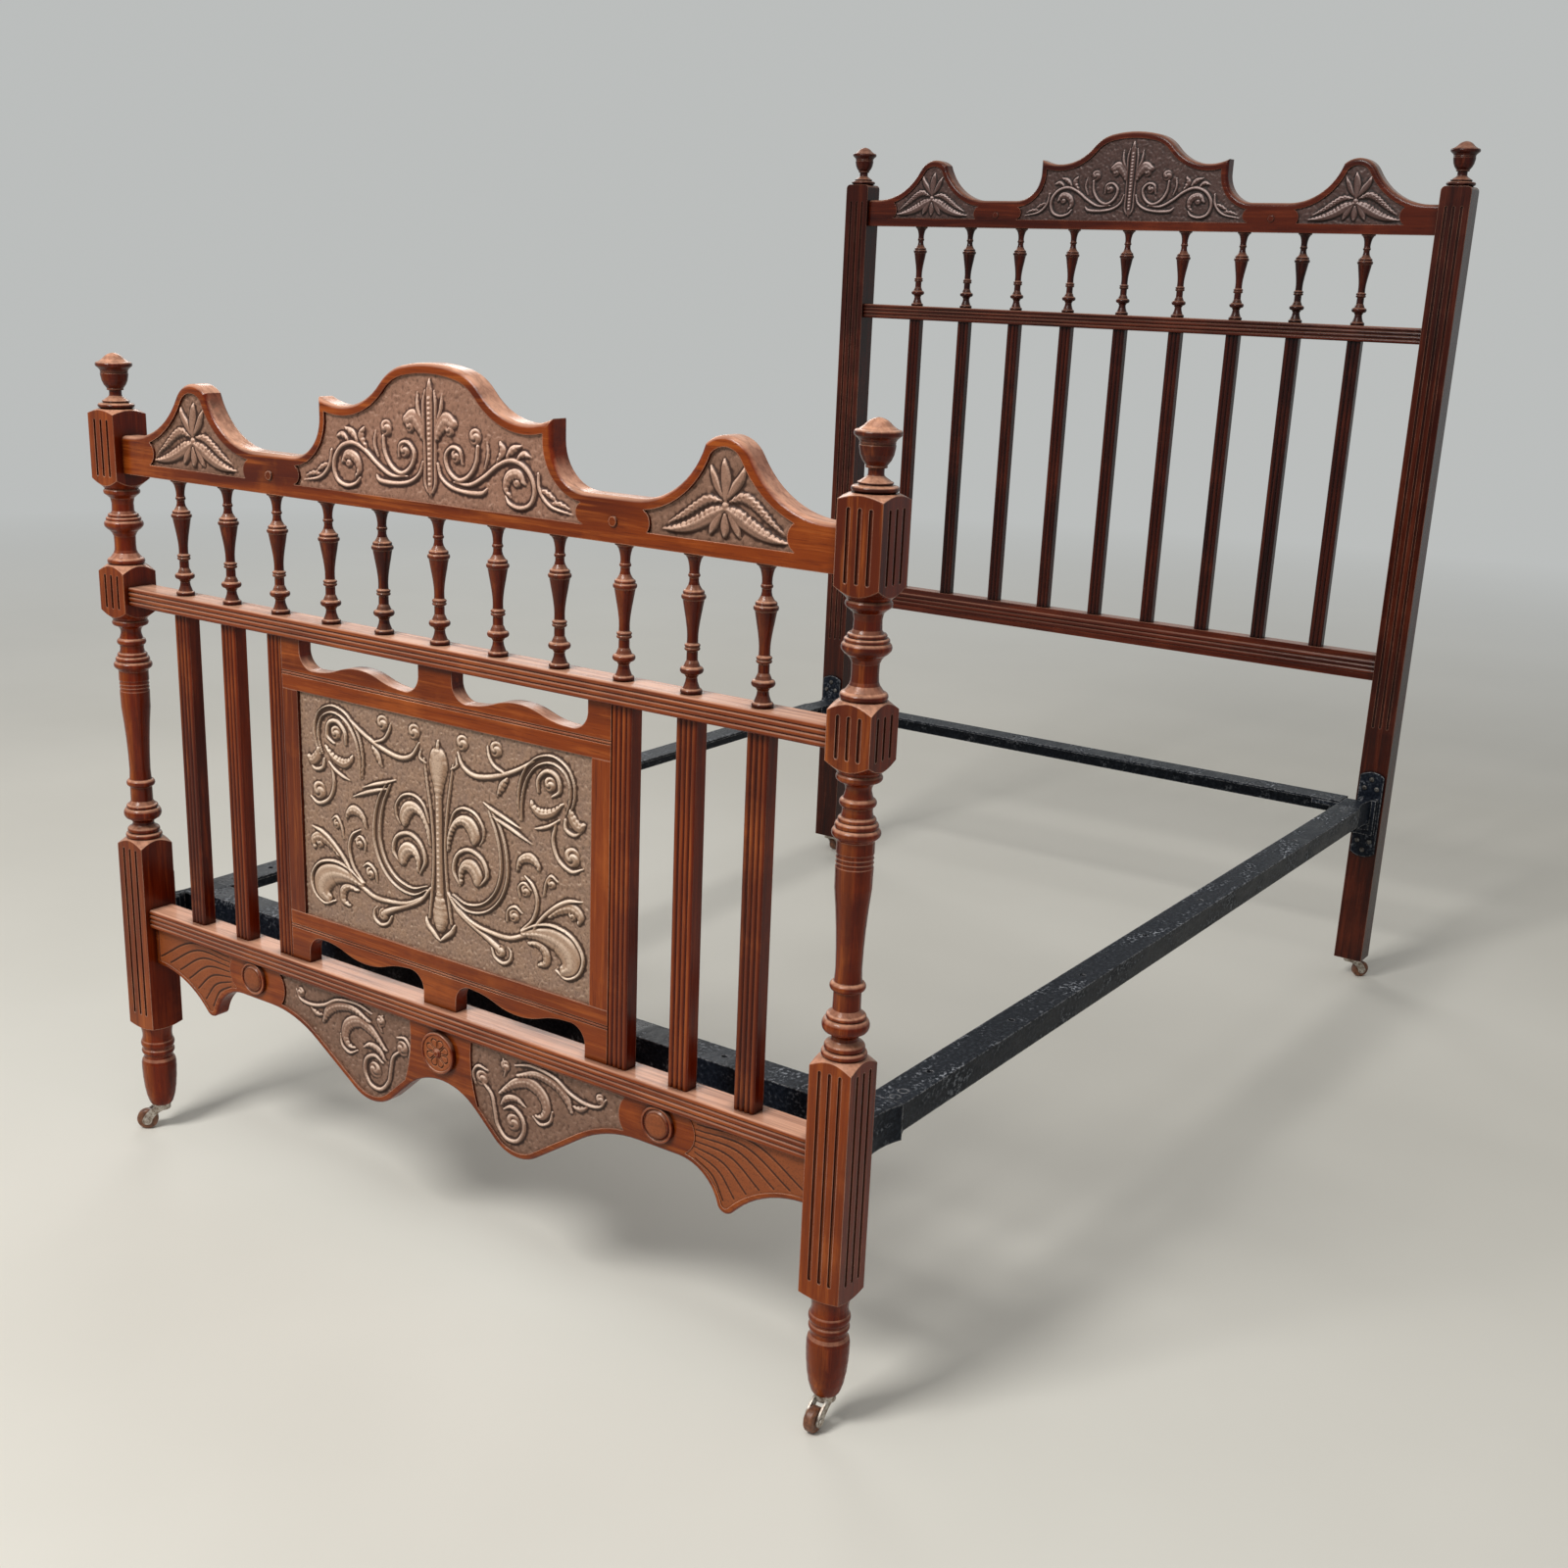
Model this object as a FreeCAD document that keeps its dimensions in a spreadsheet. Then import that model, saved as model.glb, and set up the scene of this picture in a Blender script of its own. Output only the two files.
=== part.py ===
"""Double bed in turned and carved mahogany with a drop-in angle-iron base on four castors.

Millimetres, +Z up. The origin is on the floor under the middle of the bed, +X to the right
seen from the foot end, +Y from the footboard towards the headboard.
"""
import FreeCAD, Part
import math
import os
import types

import Sketcher

SIZES = {
    # Plan of the bed
    "post_spacing": 1320,
    "post_run": 2043,
    "castor_height": 46,
    # Working allowances
    "joint_clearance": 0.2,
    "running_clearance": 0.05,
    "swivel_gap": 0.3,
    "cut_overrun": 10,
    # Foot posts, turned from square stock, lengths counted from the floor end
    "foot_post_side": 59,
    "foot_turning_length": 141,
    "low_block_length": 322,
    "shaft_length": 353,
    "mid_block_length": 81,
    "neck_length": 117,
    "top_block_length": 113,
    "pommel_drop": 11,
    "top_pommel_drop": 7,
    "low_pommel_drop": 5,
    "flute_width": 4.5,
    "flute_depth": 2.4,
    "flute_pitch": 14.5,
    "flute_stop": 15,
    "flute_foot_stop": 25,
    # Head posts, plain rectangular stock
    "head_post_width": 57,
    "head_post_depth": 49,
    "head_post_length": 1542,
    "head_post_corner": 9,
    "head_flute_start": 500,
    "head_flute_top_stop": 36,
    # Finials
    "finial_height": 80,
    "finial_radius": 26.6,
    "dowel_radius": 7,
    "dowel_length": 24,
    # Crest rails
    "crest_rise": 193,
    "crest_thickness": 32,
    "crest_field_depth": 5,
    "crest_front_round": 7,
    "crest_back_round": 4,
    "crest_boss_radius": 6,
    "crest_boss_rise": 26,
    "crest_boss_proud": 2.5,
    "foot_crest_level": 1081,
    "head_crest_level": 1500,
    "tenon_length": 26,
    "tenon_thickness": 12,
    "crest_tenon_height": 34,
    "crest_tenon_lift": 10,
    # Foot rails
    "foot_mid_level": 884,
    "foot_mid_height": 28,
    "foot_low_level": 366,
    "foot_low_height": 30,
    "foot_rail_depth": 44,
    "rail_tenon_height": 18,
    "reed_rise": 2.6,
    # Head rails
    "head_mid_level": 1300,
    "head_mid_height": 30,
    "head_low_level": 640,
    "head_low_height": 52,
    "head_low_plain": 12,
    "head_rail_depth": 34,
    # Apron
    "apron_drop": 158,
    "apron_thickness": 24,
    "apron_field_depth": 4.5,
    "apron_wing_depth": 3,
    "apron_round": 4,
    "apron_boss_place": 393,
    "apron_boss_drop": 27,
    "apron_boss_radius": 25.5,
    "apron_boss_height": 9,
    "rosette_radius": 31,
    "rosette_drop": 38,
    "rosette_height": 9,
    # Spindles
    "spindle_radius": 15,
    "foot_spindle_pitch": 104.5,
    "head_spindle_pitch": 125,
    "spindle_pin_radius": 5,
    "spindle_pin_length": 9,
    # Reeded bars
    "foot_bar_width": 31,
    "foot_bar_depth": 22,
    "foot_bar_inner": 419.5,
    "foot_bar_pitch": 104.5,
    "head_bar_width": 27,
    "head_bar_depth": 18,
    # Carved panel and its frame
    "panel_frame_half_width": 304,
    "panel_frame_thickness": 22,
    "panel_stile_width": 31,
    "panel_rail_height": 76,
    "panel_thickness": 10,
    "panel_setback": 6,
    "panel_tongue": 8,
    "scratch_width": 1.6,
    "scratch_depth": 1,
    "scratch_lift": 21,
    "scratch_pitch": 4,
    # Angle irons of the base
    "iron_level": 400,
    "iron_top_width": 50,
    "iron_side_height": 38,
    "iron_thickness": 5,
    "side_iron_offset": 12,
    "iron_hole_radius": 4.5,
    "side_hole_foot_margin": 108.9,
    "side_hole_head_margin": 75.9,
    "bar_hole_pitch": 274,
    "foot_bar_standoff": 51,
    "head_bar_standoff": 16.5,
    "bar_end_gap": 2,
    # Corner castings
    "casting_reach": 102,
    "casting_lap": 46,
    "casting_depth": 50,
    "casting_neck_width": 18,
    "casting_neck_start": 34,
    "casting_lap_width": 32,
    "casting_sweep": 38,
    "shelf_length": 60,
    "shelf_thickness": 9,
    "tongue_width": 28,
    "tongue_height": 64,
    # Post sockets
    "socket_width": 48,
    "socket_height": 180,
    "socket_top_above_iron": 55,
    "socket_plate": 5,
    "socket_housing": 18,
    "socket_housing_width": 36,
    "socket_wall_under": 10,
    "socket_crown": 8,
    "socket_screw_spread": 12.5,
    "socket_screw_near": 34,
    "socket_screw_far": 15,
    "screw_head_radius": 5.2,
    "screw_head_height": 3,
    "screw_shank_radius": 2.3,
    "screw_length": 26,
    # Countersunk rivets and bolts of the irons
    "stud_head_height": 3.5,
    "stud_shank_radius": 4,
    # Castors
    "castor_plate_radius": 14.5,
    "castor_plate_thickness": 4,
    "castor_sleeve_radius": 8,
    "castor_sleeve_length": 42,
    "castor_stem_radius": 5,
    "castor_trail": 24,
    "wheel_radius": 17,
    "wheel_width": 14,
    "wheel_edge": 4,
    "axle_radius": 3,
    "axle_head_radius": 4.6,
    "axle_head_height": 1.4,
    "horn_arm_thickness": 3,
    "horn_side_gap": 0.7,
    "horn_disc_radius": 14,
    "horn_arm_back": 8,
    "horn_arm_front": 8,
    "horn_crown_gap": 2,
    "horn_boss_radius": 8,
}

FOOT_SPINDLES = 11
HEAD_SPINDLES = 9
FOOT_BARS_PER_SIDE = 2
RAIL_REEDS = 4
FOOT_BAR_REEDS = 4
HEAD_BAR_REEDS = 3
HEAD_LOW_REEDS = 3
FLUTES = 3
SIDE_HOLES = 8
BAR_HOLES = 4
FULL_TURN = 360

# Half-way outlines, as shares of the clear half width and of the height they follow.
# Three entries mark a point that an arc passes, two a corner.
CREST_SHARES = [
    (0.0793, 0.9712), (0.1140, 0.9259, "arc"), (0.1427, 0.8477), (0.2289, 0.6824, "arc"),
    (0.3275, 0.7180), (0.3275, 0.5824), (0.3537, 0.3757, "arc"), (0.4170, 0.2902),
    (0.5359, 0.2902), (0.6338, 0.3931, "arc"), (0.6950, 0.6632), (0.7509, 0.7186, "arc"),
    (0.7990, 0.6109), (0.8717, 0.3734, "arc"), (0.9710, 0.2865), (1.0, 0.2865), (1.0, 0.0),
]
CREST_TOP_SHARE = 1.0
CENTRE_FIELD_SHARES = [
    (0.0748, 0.9055), (0.1036, 0.8679, "arc"), (0.1272, 0.8034), (0.2092, 0.6295, "arc"),
    (0.3069, 0.6228), (0.3069, 0.5824), (0.3347, 0.3435, "arc"), (0.4040, 0.2254),
    (0.392, 0.155, "arc"), (0.416, 0.093),
]
CENTRE_FIELD_TOP_SHARE = 0.9326
SIDE_FIELD_SHARES = [
    (0.568, 0.093), (0.901, 0.093), (0.885, 0.166, "arc"), (0.898, 0.2601),
    (0.8311, 0.3845, "arc"), (0.7811, 0.5772), (0.7472, 0.6523, "arc"), (0.7102, 0.6044),
    (0.6498, 0.3477, "arc"), (0.558, 0.2269), (0.574, 0.155, "arc"),
]
CREST_BOSS_SHARE = 0.487
APRON_SHARES = [
    (1.0, 0.0), (1.0, 0.4082), (0.8974, 0.4848, "arc"), (0.8128, 0.7294),
    (0.7913, 0.7573, "arc"), (0.7749, 0.6949), (0.7372, 0.4766, "arc"), (0.6742, 0.3924),
    (0.5692, 0.3924), (0.4864, 0.4418, "arc"), (0.4109, 0.5867), (0.2836, 0.9323),
    (0.2216, 0.9987, "arc"), (0.1623, 0.8981), (0.1039, 0.6861),
]
APRON_ARCH_SHARE = 0.5253
APRON_FIELD_SHARES = [
    (0.095, 0.038), (0.533, 0.038), (0.517, 0.190, "arc"), (0.530, 0.3456),
    (0.4638, 0.4133, "arc"), (0.4029, 0.5399), (0.2755, 0.8854), (0.2225, 0.9424, "arc"),
    (0.1719, 0.8557), (0.1136, 0.6437), (0.095, 0.316, "arc"),
]
WING_FIELD_SHARES = [
    (0.990, 0.03), (0.990, 0.357), (0.8874, 0.4468, "arc"), (0.8033, 0.6962),
    (0.7941, 0.7079, "arc"), (0.7872, 0.6810), (0.7521, 0.4601, "arc"), (0.6931, 0.3481),
    (0.7159, 0.1392, "arc"), (0.7026, 0.03),
]
PANEL_RAIL_SHARES = [
    (0.102, 1.0), (0.102, 0.789), (0.122, 0.553, "arc"), (0.204, 0.434),
    (0.276, 0.467, "arc"), (0.342, 0.539), (0.484, 0.645, "arc"), (0.625, 0.539),
    (0.697, 0.461, "arc"), (0.776, 0.434), (0.855, 0.553, "arc"), (0.875, 0.789),
    (0.875, 1.0), (1.0, 1.0), (1.0, 0.0),
]
# Turned profiles, as shares of the turned length and of the largest radius.
FOOT_TURNING_SHARES = [
    (0.0, 0.56), (0.02, 0.63), (0.06, 0.70), (0.12, 0.78), (0.22, 0.86), (0.34, 0.915),
    (0.46, 0.94), (0.53, 0.935), (0.570, 0.89), (0.60, 0.80), (0.625, 0.78), (0.645, 0.80),
    (0.680, 0.89, "arc"), (0.715, 0.82), (0.730, 0.82), (0.775, 0.91, "arc"), (0.820, 0.84),
    (0.860, 0.80), (0.900, 0.80), (0.950, 0.84), (1.0, 0.90),
]
SHAFT_SHARES = [
    (0.0, 0.94), (0.002, 0.88), (0.0127, 0.95, "arc"), (0.024, 0.86), (0.026, 0.78),
    (0.0397, 0.84, "arc"), (0.051, 0.72), (0.0567, 0.62), (0.068, 0.56, "arc"),
    (0.0793, 0.62), (0.0907, 0.80), (0.0935, 0.88), (0.116, 0.98, "arc"), (0.136, 0.88),
    (0.139, 0.78), (0.1473, 0.82, "arc"), (0.156, 0.70), (0.171, 0.58), (0.237, 0.57),
    (0.2535, 0.74, "arc"), (0.270, 0.57), (0.314, 0.54), (0.479, 0.62, "arc"), (0.598, 0.75),
    (0.672, 0.765), (0.680, 0.735, "arc"), (0.688, 0.765), (0.696, 0.735, "arc"),
    (0.704, 0.765), (0.7125, 0.735, "arc"), (0.721, 0.765), (0.763, 0.76), (0.772, 0.84),
    (0.790, 0.98, "arc"), (0.805, 0.84), (0.816, 0.87, "arc"), (0.827, 0.74),
    (0.836, 0.76, "arc"), (0.844, 0.64), (0.861, 0.60), (0.876, 0.61), (0.891, 0.74, "arc"),
    (0.906, 0.60), (0.926, 0.53), (0.948, 0.56, "arc"), (0.9625, 0.76), (0.975, 0.92, "arc"),
    (0.9875, 0.84), (1.0, 0.94),
]
NECK_SHARES = [
    (0.0, 0.94), (0.005, 0.87), (0.043, 0.94, "arc"), (0.079, 0.84), (0.085, 0.78),
    (0.111, 0.70), (0.145, 0.60), (0.180, 0.55), (0.248, 0.535), (0.359, 0.545), (0.400, 0.62),
    (0.432, 0.72), (0.453, 0.84), (0.470, 0.90), (0.518, 0.98, "arc"), (0.564, 0.86),
    (0.585, 0.88, "arc"), (0.607, 0.74), (0.628, 0.77, "arc"), (0.650, 0.63), (0.684, 0.56),
    (0.778, 0.545), (0.846, 0.60), (0.872, 0.72), (0.889, 0.80), (0.927, 0.91, "arc"),
    (0.966, 0.82), (1.0, 0.94),
]
FINIAL_SHARES = [
    (0.0, 0.84), (0.015, 0.90), (0.055, 1.0, "arc"), (0.095, 0.90), (0.108, 0.72),
    (0.118, 0.70), (0.135, 0.75, "arc"), (0.150, 0.70), (0.155, 0.66), (0.180, 0.56),
    (0.205, 0.44), (0.230, 0.36), (0.250, 0.34), (0.325, 0.34), (0.330, 0.42),
    (0.345, 0.46, "arc"), (0.360, 0.44), (0.430, 0.60), (0.505, 0.70), (0.600, 0.755),
    (0.637, 0.76), (0.641, 0.735), (0.651, 0.735), (0.655, 0.755), (0.675, 0.74),
    (0.710, 0.80), (0.740, 0.90), (0.755, 0.96), (0.797, 1.0, "arc"), (0.835, 0.93),
    (0.845, 0.80), (0.853, 0.775), (0.887, 0.62), (0.929, 0.49), (0.955, 0.40),
    (0.978, 0.27), (0.994, 0.12), (1.0, 0.0),
]
SPINDLE_SHARES = [
    (0.0, 0.84), (0.017, 0.90, "arc"), (0.035, 0.80), (0.038, 0.70), (0.085, 0.51),
    (0.116, 0.46), (0.140, 0.62), (0.145, 0.80), (0.170, 0.96, "arc"), (0.192, 0.82),
    (0.196, 0.68), (0.222, 0.56), (0.240, 0.46), (0.305, 0.45), (0.310, 0.55),
    (0.322, 0.64, "arc"), (0.334, 0.54), (0.346, 0.64, "arc"), (0.358, 0.52), (0.364, 0.46),
    (0.420, 0.452, "arc"), (0.460, 0.485), (0.520, 0.575), (0.600, 0.735), (0.672, 0.875),
    (0.676, 0.94), (0.692, 1.0, "arc"), (0.708, 0.92), (0.712, 0.84), (0.725, 0.87, "arc"),
    (0.738, 0.76), (0.742, 0.68), (0.760, 0.55), (0.775, 0.46), (0.800, 0.39), (0.825, 0.39),
    (0.829, 0.44), (0.841, 0.49, "arc"), (0.853, 0.43), (0.870, 0.40), (0.920, 0.455, "arc"),
    (0.955, 0.56), (0.980, 0.74), (0.985, 0.87), (1.0, 0.90),
]
BOSS_SHARES = [
    (0.0, 1.0), (0.40, 1.0), (0.68, 0.93, "arc"), (0.45, 0.85), (0.38, 0.80), (0.50, 0.76),
    (0.66, 0.70), (0.74, 0.55), (0.78, 0.30), (0.78, 0.0),
]
ROSETTE_SHARES = [
    (0.0, 1.0), (0.55, 1.0), (0.85, 0.94, "arc"), (0.55, 0.86), (0.38, 0.84), (0.38, 0.26),
    (0.75, 0.22), (1.0, 0.12), (1.0, 0.0),
]
SWEEP_SHARES = [
    (0.0, 0.0), (0.18, 0.16, "arc"), (0.30, 0.50), (0.55, 0.88, "arc"), (1.0, 1.0),
]
HEAD_FILLET_SHARE = 0.8
SLOT_MOUTH_SHARE = 0.62
CASTING_WAIST_SHARE = 0.3
HORN_BULGE_SHARE = 0.3
SHELF_BOLT_SHARES = [0.28, 0.74]
LAP_RIVET_SHARES = [0.28, 0.74]

SIDES = {"left": -1, "right": 1}
FOOT = -1
HEAD = 1
ENDS = {"foot": FOOT, "head": HEAD}
TOLERANCE = 1e-6
CASTOR_YAWS = {"foot_left": 225, "foot_right": 270, "head_left": 90, "head_right": 45}


class Size:
    """A length that carries its value and the spreadsheet expression that gives it."""

    def __init__(self, value, text):
        self.value = value
        self.text = text

    def combined(self, other, sign, value):
        text = other.text if isinstance(other, Size) else repr(other)
        return Size(value, f"({self.text} {sign} {text})")

    def __add__(self, other):
        return self.combined(other, "+", self.value + number(other))

    def __sub__(self, other):
        return self.combined(other, "-", self.value - number(other))

    def __mul__(self, factor):
        return self.combined(factor, "*", self.value * number(factor))

    def __truediv__(self, divisor):
        return self.combined(divisor, "/", self.value / number(divisor))

    def __neg__(self):
        return self * -1

    def __radd__(self, other):
        return self + other

    def __rsub__(self, other):
        return -self + other

    def __rmul__(self, factor):
        return self * factor


def number(length):
    """The plain value of a size or of a number."""
    return length.value if isinstance(length, Size) else float(length)


def fill_sheet(document):
    """Write the driving sizes to a spreadsheet and give each its alias."""
    cells = document.addObject("Spreadsheet::Sheet", "Sizes")
    named = {}
    for row, (name, value) in enumerate(SIZES.items(), start=1):
        cells.set(f"A{row}", name)
        cells.set(f"B{row}", str(value))
        cells.setAlias(f"B{row}", name)
        named[name] = Size(float(value), f"Sizes.{name}")
    document.recompute()
    return types.SimpleNamespace(**named)


doc = FreeCAD.newDocument("DoubleBed")
d = fill_sheet(doc)
parts = []


def bind(item, prop, length):
    """Tie a property to the spreadsheet, or set it where the length is a plain zero."""
    if isinstance(length, Size):
        item.setExpression(prop, length.text)


def place(item, x, y, z, yaw=0):
    """Put an object at a place given by sizes, turned about the vertical."""
    turn = FreeCAD.Rotation(FreeCAD.Vector(0, 0, 1), yaw)
    item.Placement = FreeCAD.Placement(FreeCAD.Vector(number(x), number(y), number(z)), turn)
    for axis, length in zip("xyz", (x, y, z)):
        bind(item, f"Placement.Base.{axis}", length)


def new_body(name):
    """A body that becomes the sub-part of that name."""
    body = doc.addObject("PartDesign::Body", name)
    body.Label = name
    body.AllowCompound = True
    parts.append(body)
    return body


def new_sketch(body, plane, offset=0):
    """An empty sketch on one of the body's own planes, moved along the plane's normal."""
    sketch = body.newObject("Sketcher::SketchObject", "Sketch")
    face = next(item for item in body.Origin.OriginFeatures if item.Role == plane)
    sketch.AttachmentSupport = [(face, "")]
    sketch.MapMode = "FlatFace"
    sketch.AttachmentOffset = FreeCAD.Placement(FreeCAD.Vector(0, 0, number(offset)), FreeCAD.Rotation())
    bind(sketch, "AttachmentOffset.Base.z", offset)
    return sketch


def vector(point):
    return FreeCAD.Vector(number(point[0]), number(point[1]), 0)


def pin_point(constraints, ties, geometry, end, point):
    """Hold a sketch point at its two coordinates and note the expressions to bind."""
    for kind, length in zip(("DistanceX", "DistanceY"), point):
        constraints.append(Sketcher.Constraint(kind, -1, 1, geometry, end, number(length)))
        if isinstance(length, Size):
            ties.append((len(constraints) - 1, length.text))


def apply_constraints(sketch, constraints, ties):
    """Add constraints to a sketch and bind their values to the spreadsheet."""
    shift = sketch.ConstraintCount
    sketch.addConstraint(constraints)
    for index, text in ties:
        sketch.setExpression(f"Constraints[{shift + index}]", text)


def add_outline(sketch, outline):
    """Draw a closed outline: two entries make a corner, three make a point an arc passes."""
    corners = []
    passed = {}
    for point in outline:
        if len(point) == 3:
            passed[len(corners) - 1] = point
        else:
            corners.append(point)
    first = sketch.GeometryCount
    pieces = []
    starts = []
    for index, corner in enumerate(corners):
        start = vector(corner)
        end = vector(corners[(index + 1) % len(corners)])
        starts.append(1)
        if index not in passed:
            pieces.append(Part.LineSegment(start, end))
            continue
        middle = vector(passed[index])
        if (middle - start).cross(end - middle).z < 0:
            starts[-1] = 2
            start, end = end, start
        pieces.append(Part.Arc(start, middle, end))
    sketch.addGeometry(pieces, False)
    constraints = []
    ties = []
    for index, corner in enumerate(corners):
        after = (index + 1) % len(corners)
        end = 3 - starts[index]
        joint = Sketcher.Constraint("Coincident", first + index, end, first + after, starts[after])
        constraints.append(joint)
        pin_point(constraints, ties, first + index, starts[index], corner)
    for index, point in passed.items():
        mark = sketch.addGeometry(Part.Point(vector(point)), True)
        pin_point(constraints, ties, mark, 1, point[:2])
        constraints.append(Sketcher.Constraint("PointOnObject", mark, 1, first + index))
    apply_constraints(sketch, constraints, ties)


def add_circle(sketch, u, v, radius):
    """Draw a circle held by its centre and radius."""
    ring = Part.Circle(vector((u, v)), FreeCAD.Vector(0, 0, 1), number(radius))
    mark = sketch.addGeometry(ring, False)
    constraints = []
    ties = []
    pin_point(constraints, ties, mark, 3, (u, v))
    constraints.append(Sketcher.Constraint("Radius", mark, number(radius)))
    ties.append((len(constraints) - 1, radius.text))
    apply_constraints(sketch, constraints, ties)


def add_axis(sketch, start, end):
    """Draw a construction line to turn a profile about."""
    line = sketch.addGeometry(Part.LineSegment(vector(start), vector(end)), True)
    constraints = []
    ties = []
    pin_point(constraints, ties, line, 1, start)
    pin_point(constraints, ties, line, 2, end)
    apply_constraints(sketch, constraints, ties)


def add_feature(body, kind, sketch):
    feature = body.newObject(kind, kind.split("::")[1])
    feature.Profile = sketch
    return feature


def pad(body, sketch, length, both_ways=False, flipped=False):
    feature = add_feature(body, "PartDesign::Pad", sketch)
    bind(feature, "Length", length)
    feature.Midplane = both_ways
    feature.Reversed = flipped
    return feature


def settle_cut(body, feature, before):
    """Recompute a cut and stop if it took nothing away."""
    doc.recompute()
    if feature.Shape.isNull() or feature.Shape.Volume >= before:
        raise RuntimeError(f"{feature.Label} cuts nothing from {body.Label}")
    return feature


def volume_of(body):
    doc.recompute()
    return body.Shape.Volume


def pocket(body, sketch, depth, both_ways=False, flipped=False):
    before = volume_of(body)
    feature = add_feature(body, "PartDesign::Pocket", sketch)
    bind(feature, "Length", depth)
    feature.Midplane = both_ways
    feature.Reversed = flipped
    return settle_cut(body, feature, before)


def revolve(body, sketch, axis="V_Axis"):
    feature = add_feature(body, "PartDesign::Revolution", sketch)
    feature.ReferenceAxis = (sketch, [axis])
    feature.Angle = FULL_TURN
    return feature


def groove(body, sketch):
    before = volume_of(body)
    feature = add_feature(body, "PartDesign::Groove", sketch)
    feature.ReferenceAxis = (sketch, ["V_Axis"])
    feature.Angle = FULL_TURN
    return settle_cut(body, feature, before)


def row_of(body, feature, sketch, pitch, count):
    """Repeat a feature along the sketch's horizontal axis."""
    pattern = body.newObject("PartDesign::LinearPattern", "LinearPattern")
    pattern.Originals = [feature]
    pattern.Direction = (sketch, ["H_Axis"])
    bind(pattern, "Length", pitch * (count - 1))
    pattern.Occurrences = count
    body.Tip = pattern
    return pattern


def rectangle(left, low, right, high):
    return [(left, low), (right, low), (right, high), (left, high)]


def slot(middle, low, high, half):
    """An upright slot with round ends."""
    return [
        (middle - half, low + half), (middle, low, "arc"), (middle + half, low + half),
        (middle + half, high - half), (middle, high, "arc"), (middle - half, high - half),
    ]


def scaled(shares, width, height):
    """An outline in sizes from a table of shares."""
    return [(width * u, height * v, *mark) for u, v, *mark in shares]


def turned(shares, length, radius):
    """A turned profile in sizes: radius first, then height."""
    return [(radius * r, length * z, *mark) for z, r, *mark in shares]


def lifted(outline, rise):
    return [(u, v + rise, *mark) for u, v, *mark in outline]


def mirrored(half, top=None, bottom=None):
    """Close a right-hand half outline with its mirror image, by arcs where points are given."""
    outline = list(half)
    if bottom:
        outline.append((*bottom, "arc"))
    outline.extend((-u, v, *mark) for u, v, *mark in reversed(half))
    if top:
        outline.append((*top, "arc"))
    return outline


def reeded(left, right, front, count, rise):
    """A row of rounded reeds from left to right, standing forward of the front line."""
    width = (right - left) / count
    points = [(left, front)]
    for index in range(count):
        start = left + width * index
        points.append((start + width / 2, front - rise, "arc"))
        points.append((start + width, front))
    return points


def swapped(outline):
    return [(v, u, *mark) for u, v, *mark in outline]


# Places that several pieces share
half_spacing = d.post_spacing / 2
half_run = d.post_run / 2
foot_half = d.foot_post_side / 2
head_half = d.head_post_width / 2
foot_clear = half_spacing - foot_half
head_clear = half_spacing - head_half
low_block_base = d.foot_turning_length
shaft_base = low_block_base + d.low_block_length
mid_block_base = shaft_base + d.shaft_length
neck_base = mid_block_base + d.mid_block_length
top_block_base = neck_base + d.neck_length
foot_post_length = top_block_base + d.top_block_length
foot_spindle_base = d.foot_mid_level + d.foot_mid_height
head_spindle_base = d.head_mid_level + d.head_mid_height
foot_low_top = d.foot_low_level + d.foot_low_height
head_low_top = d.head_low_level + d.head_low_height
socket_base = d.iron_level + d.socket_top_above_iron - d.socket_height
panel_base = foot_low_top + d.panel_rail_height
panel_top = d.foot_mid_level - d.panel_rail_height
casting_inner = d.side_iron_offset - d.iron_top_width
shelf_bolts = [casting_inner - d.shelf_length * share for share in SHELF_BOLT_SHARES]
side_iron_foot = foot_half - half_run + d.casting_reach
side_iron_head = half_run - d.head_post_depth / 2 - d.casting_reach
side_hole_run = side_iron_head - side_iron_foot - d.side_hole_foot_margin - d.side_hole_head_margin
stud_bore = d.stud_shank_radius + d.running_clearance
castor_bore = d.castor_sleeve_radius + d.joint_clearance
foot_tenons = [
    (d.foot_crest_level + d.crest_tenon_lift, d.crest_tenon_height),
    (d.foot_mid_level + (d.foot_mid_height - d.rail_tenon_height) / 2, d.rail_tenon_height),
    (d.foot_low_level + (d.foot_low_height - d.rail_tenon_height) / 2, d.rail_tenon_height),
]
head_tenons = [
    (d.head_crest_level + d.crest_tenon_lift, d.crest_tenon_height),
    (d.head_mid_level + (d.head_mid_height - d.rail_tenon_height) / 2, d.rail_tenon_height),
    (d.head_low_level + (d.head_low_height - d.rail_tenon_height) / 2, d.rail_tenon_height),
]
socket_screws = [(0, d.socket_screw_far)]
for screw_side in SIDES.values():
    socket_screws.append((d.socket_screw_spread * screw_side, d.socket_screw_near))


def screw_places():
    """Screw places on a socket, from its middle line and its lower end."""
    low = [(u, v) for u, v in socket_screws]
    high = [(u, d.socket_height - v) for u, v in socket_screws]
    return low + high


def cut_mortises(body, side, half, tenons):
    """Cut the rail mortises in a post's inner face."""
    sketch = new_sketch(body, "YZ_Plane", half * -side)
    depth = d.tenon_length + d.joint_clearance
    reach = d.tenon_thickness / 2 + d.joint_clearance
    for level, height in tenons:
        low = level - d.castor_height - d.joint_clearance
        high = level + height - d.castor_height + d.joint_clearance
        add_outline(sketch, rectangle(-reach, low, reach, high))
    pocket(body, sketch, depth, flipped=side > 0)


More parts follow.
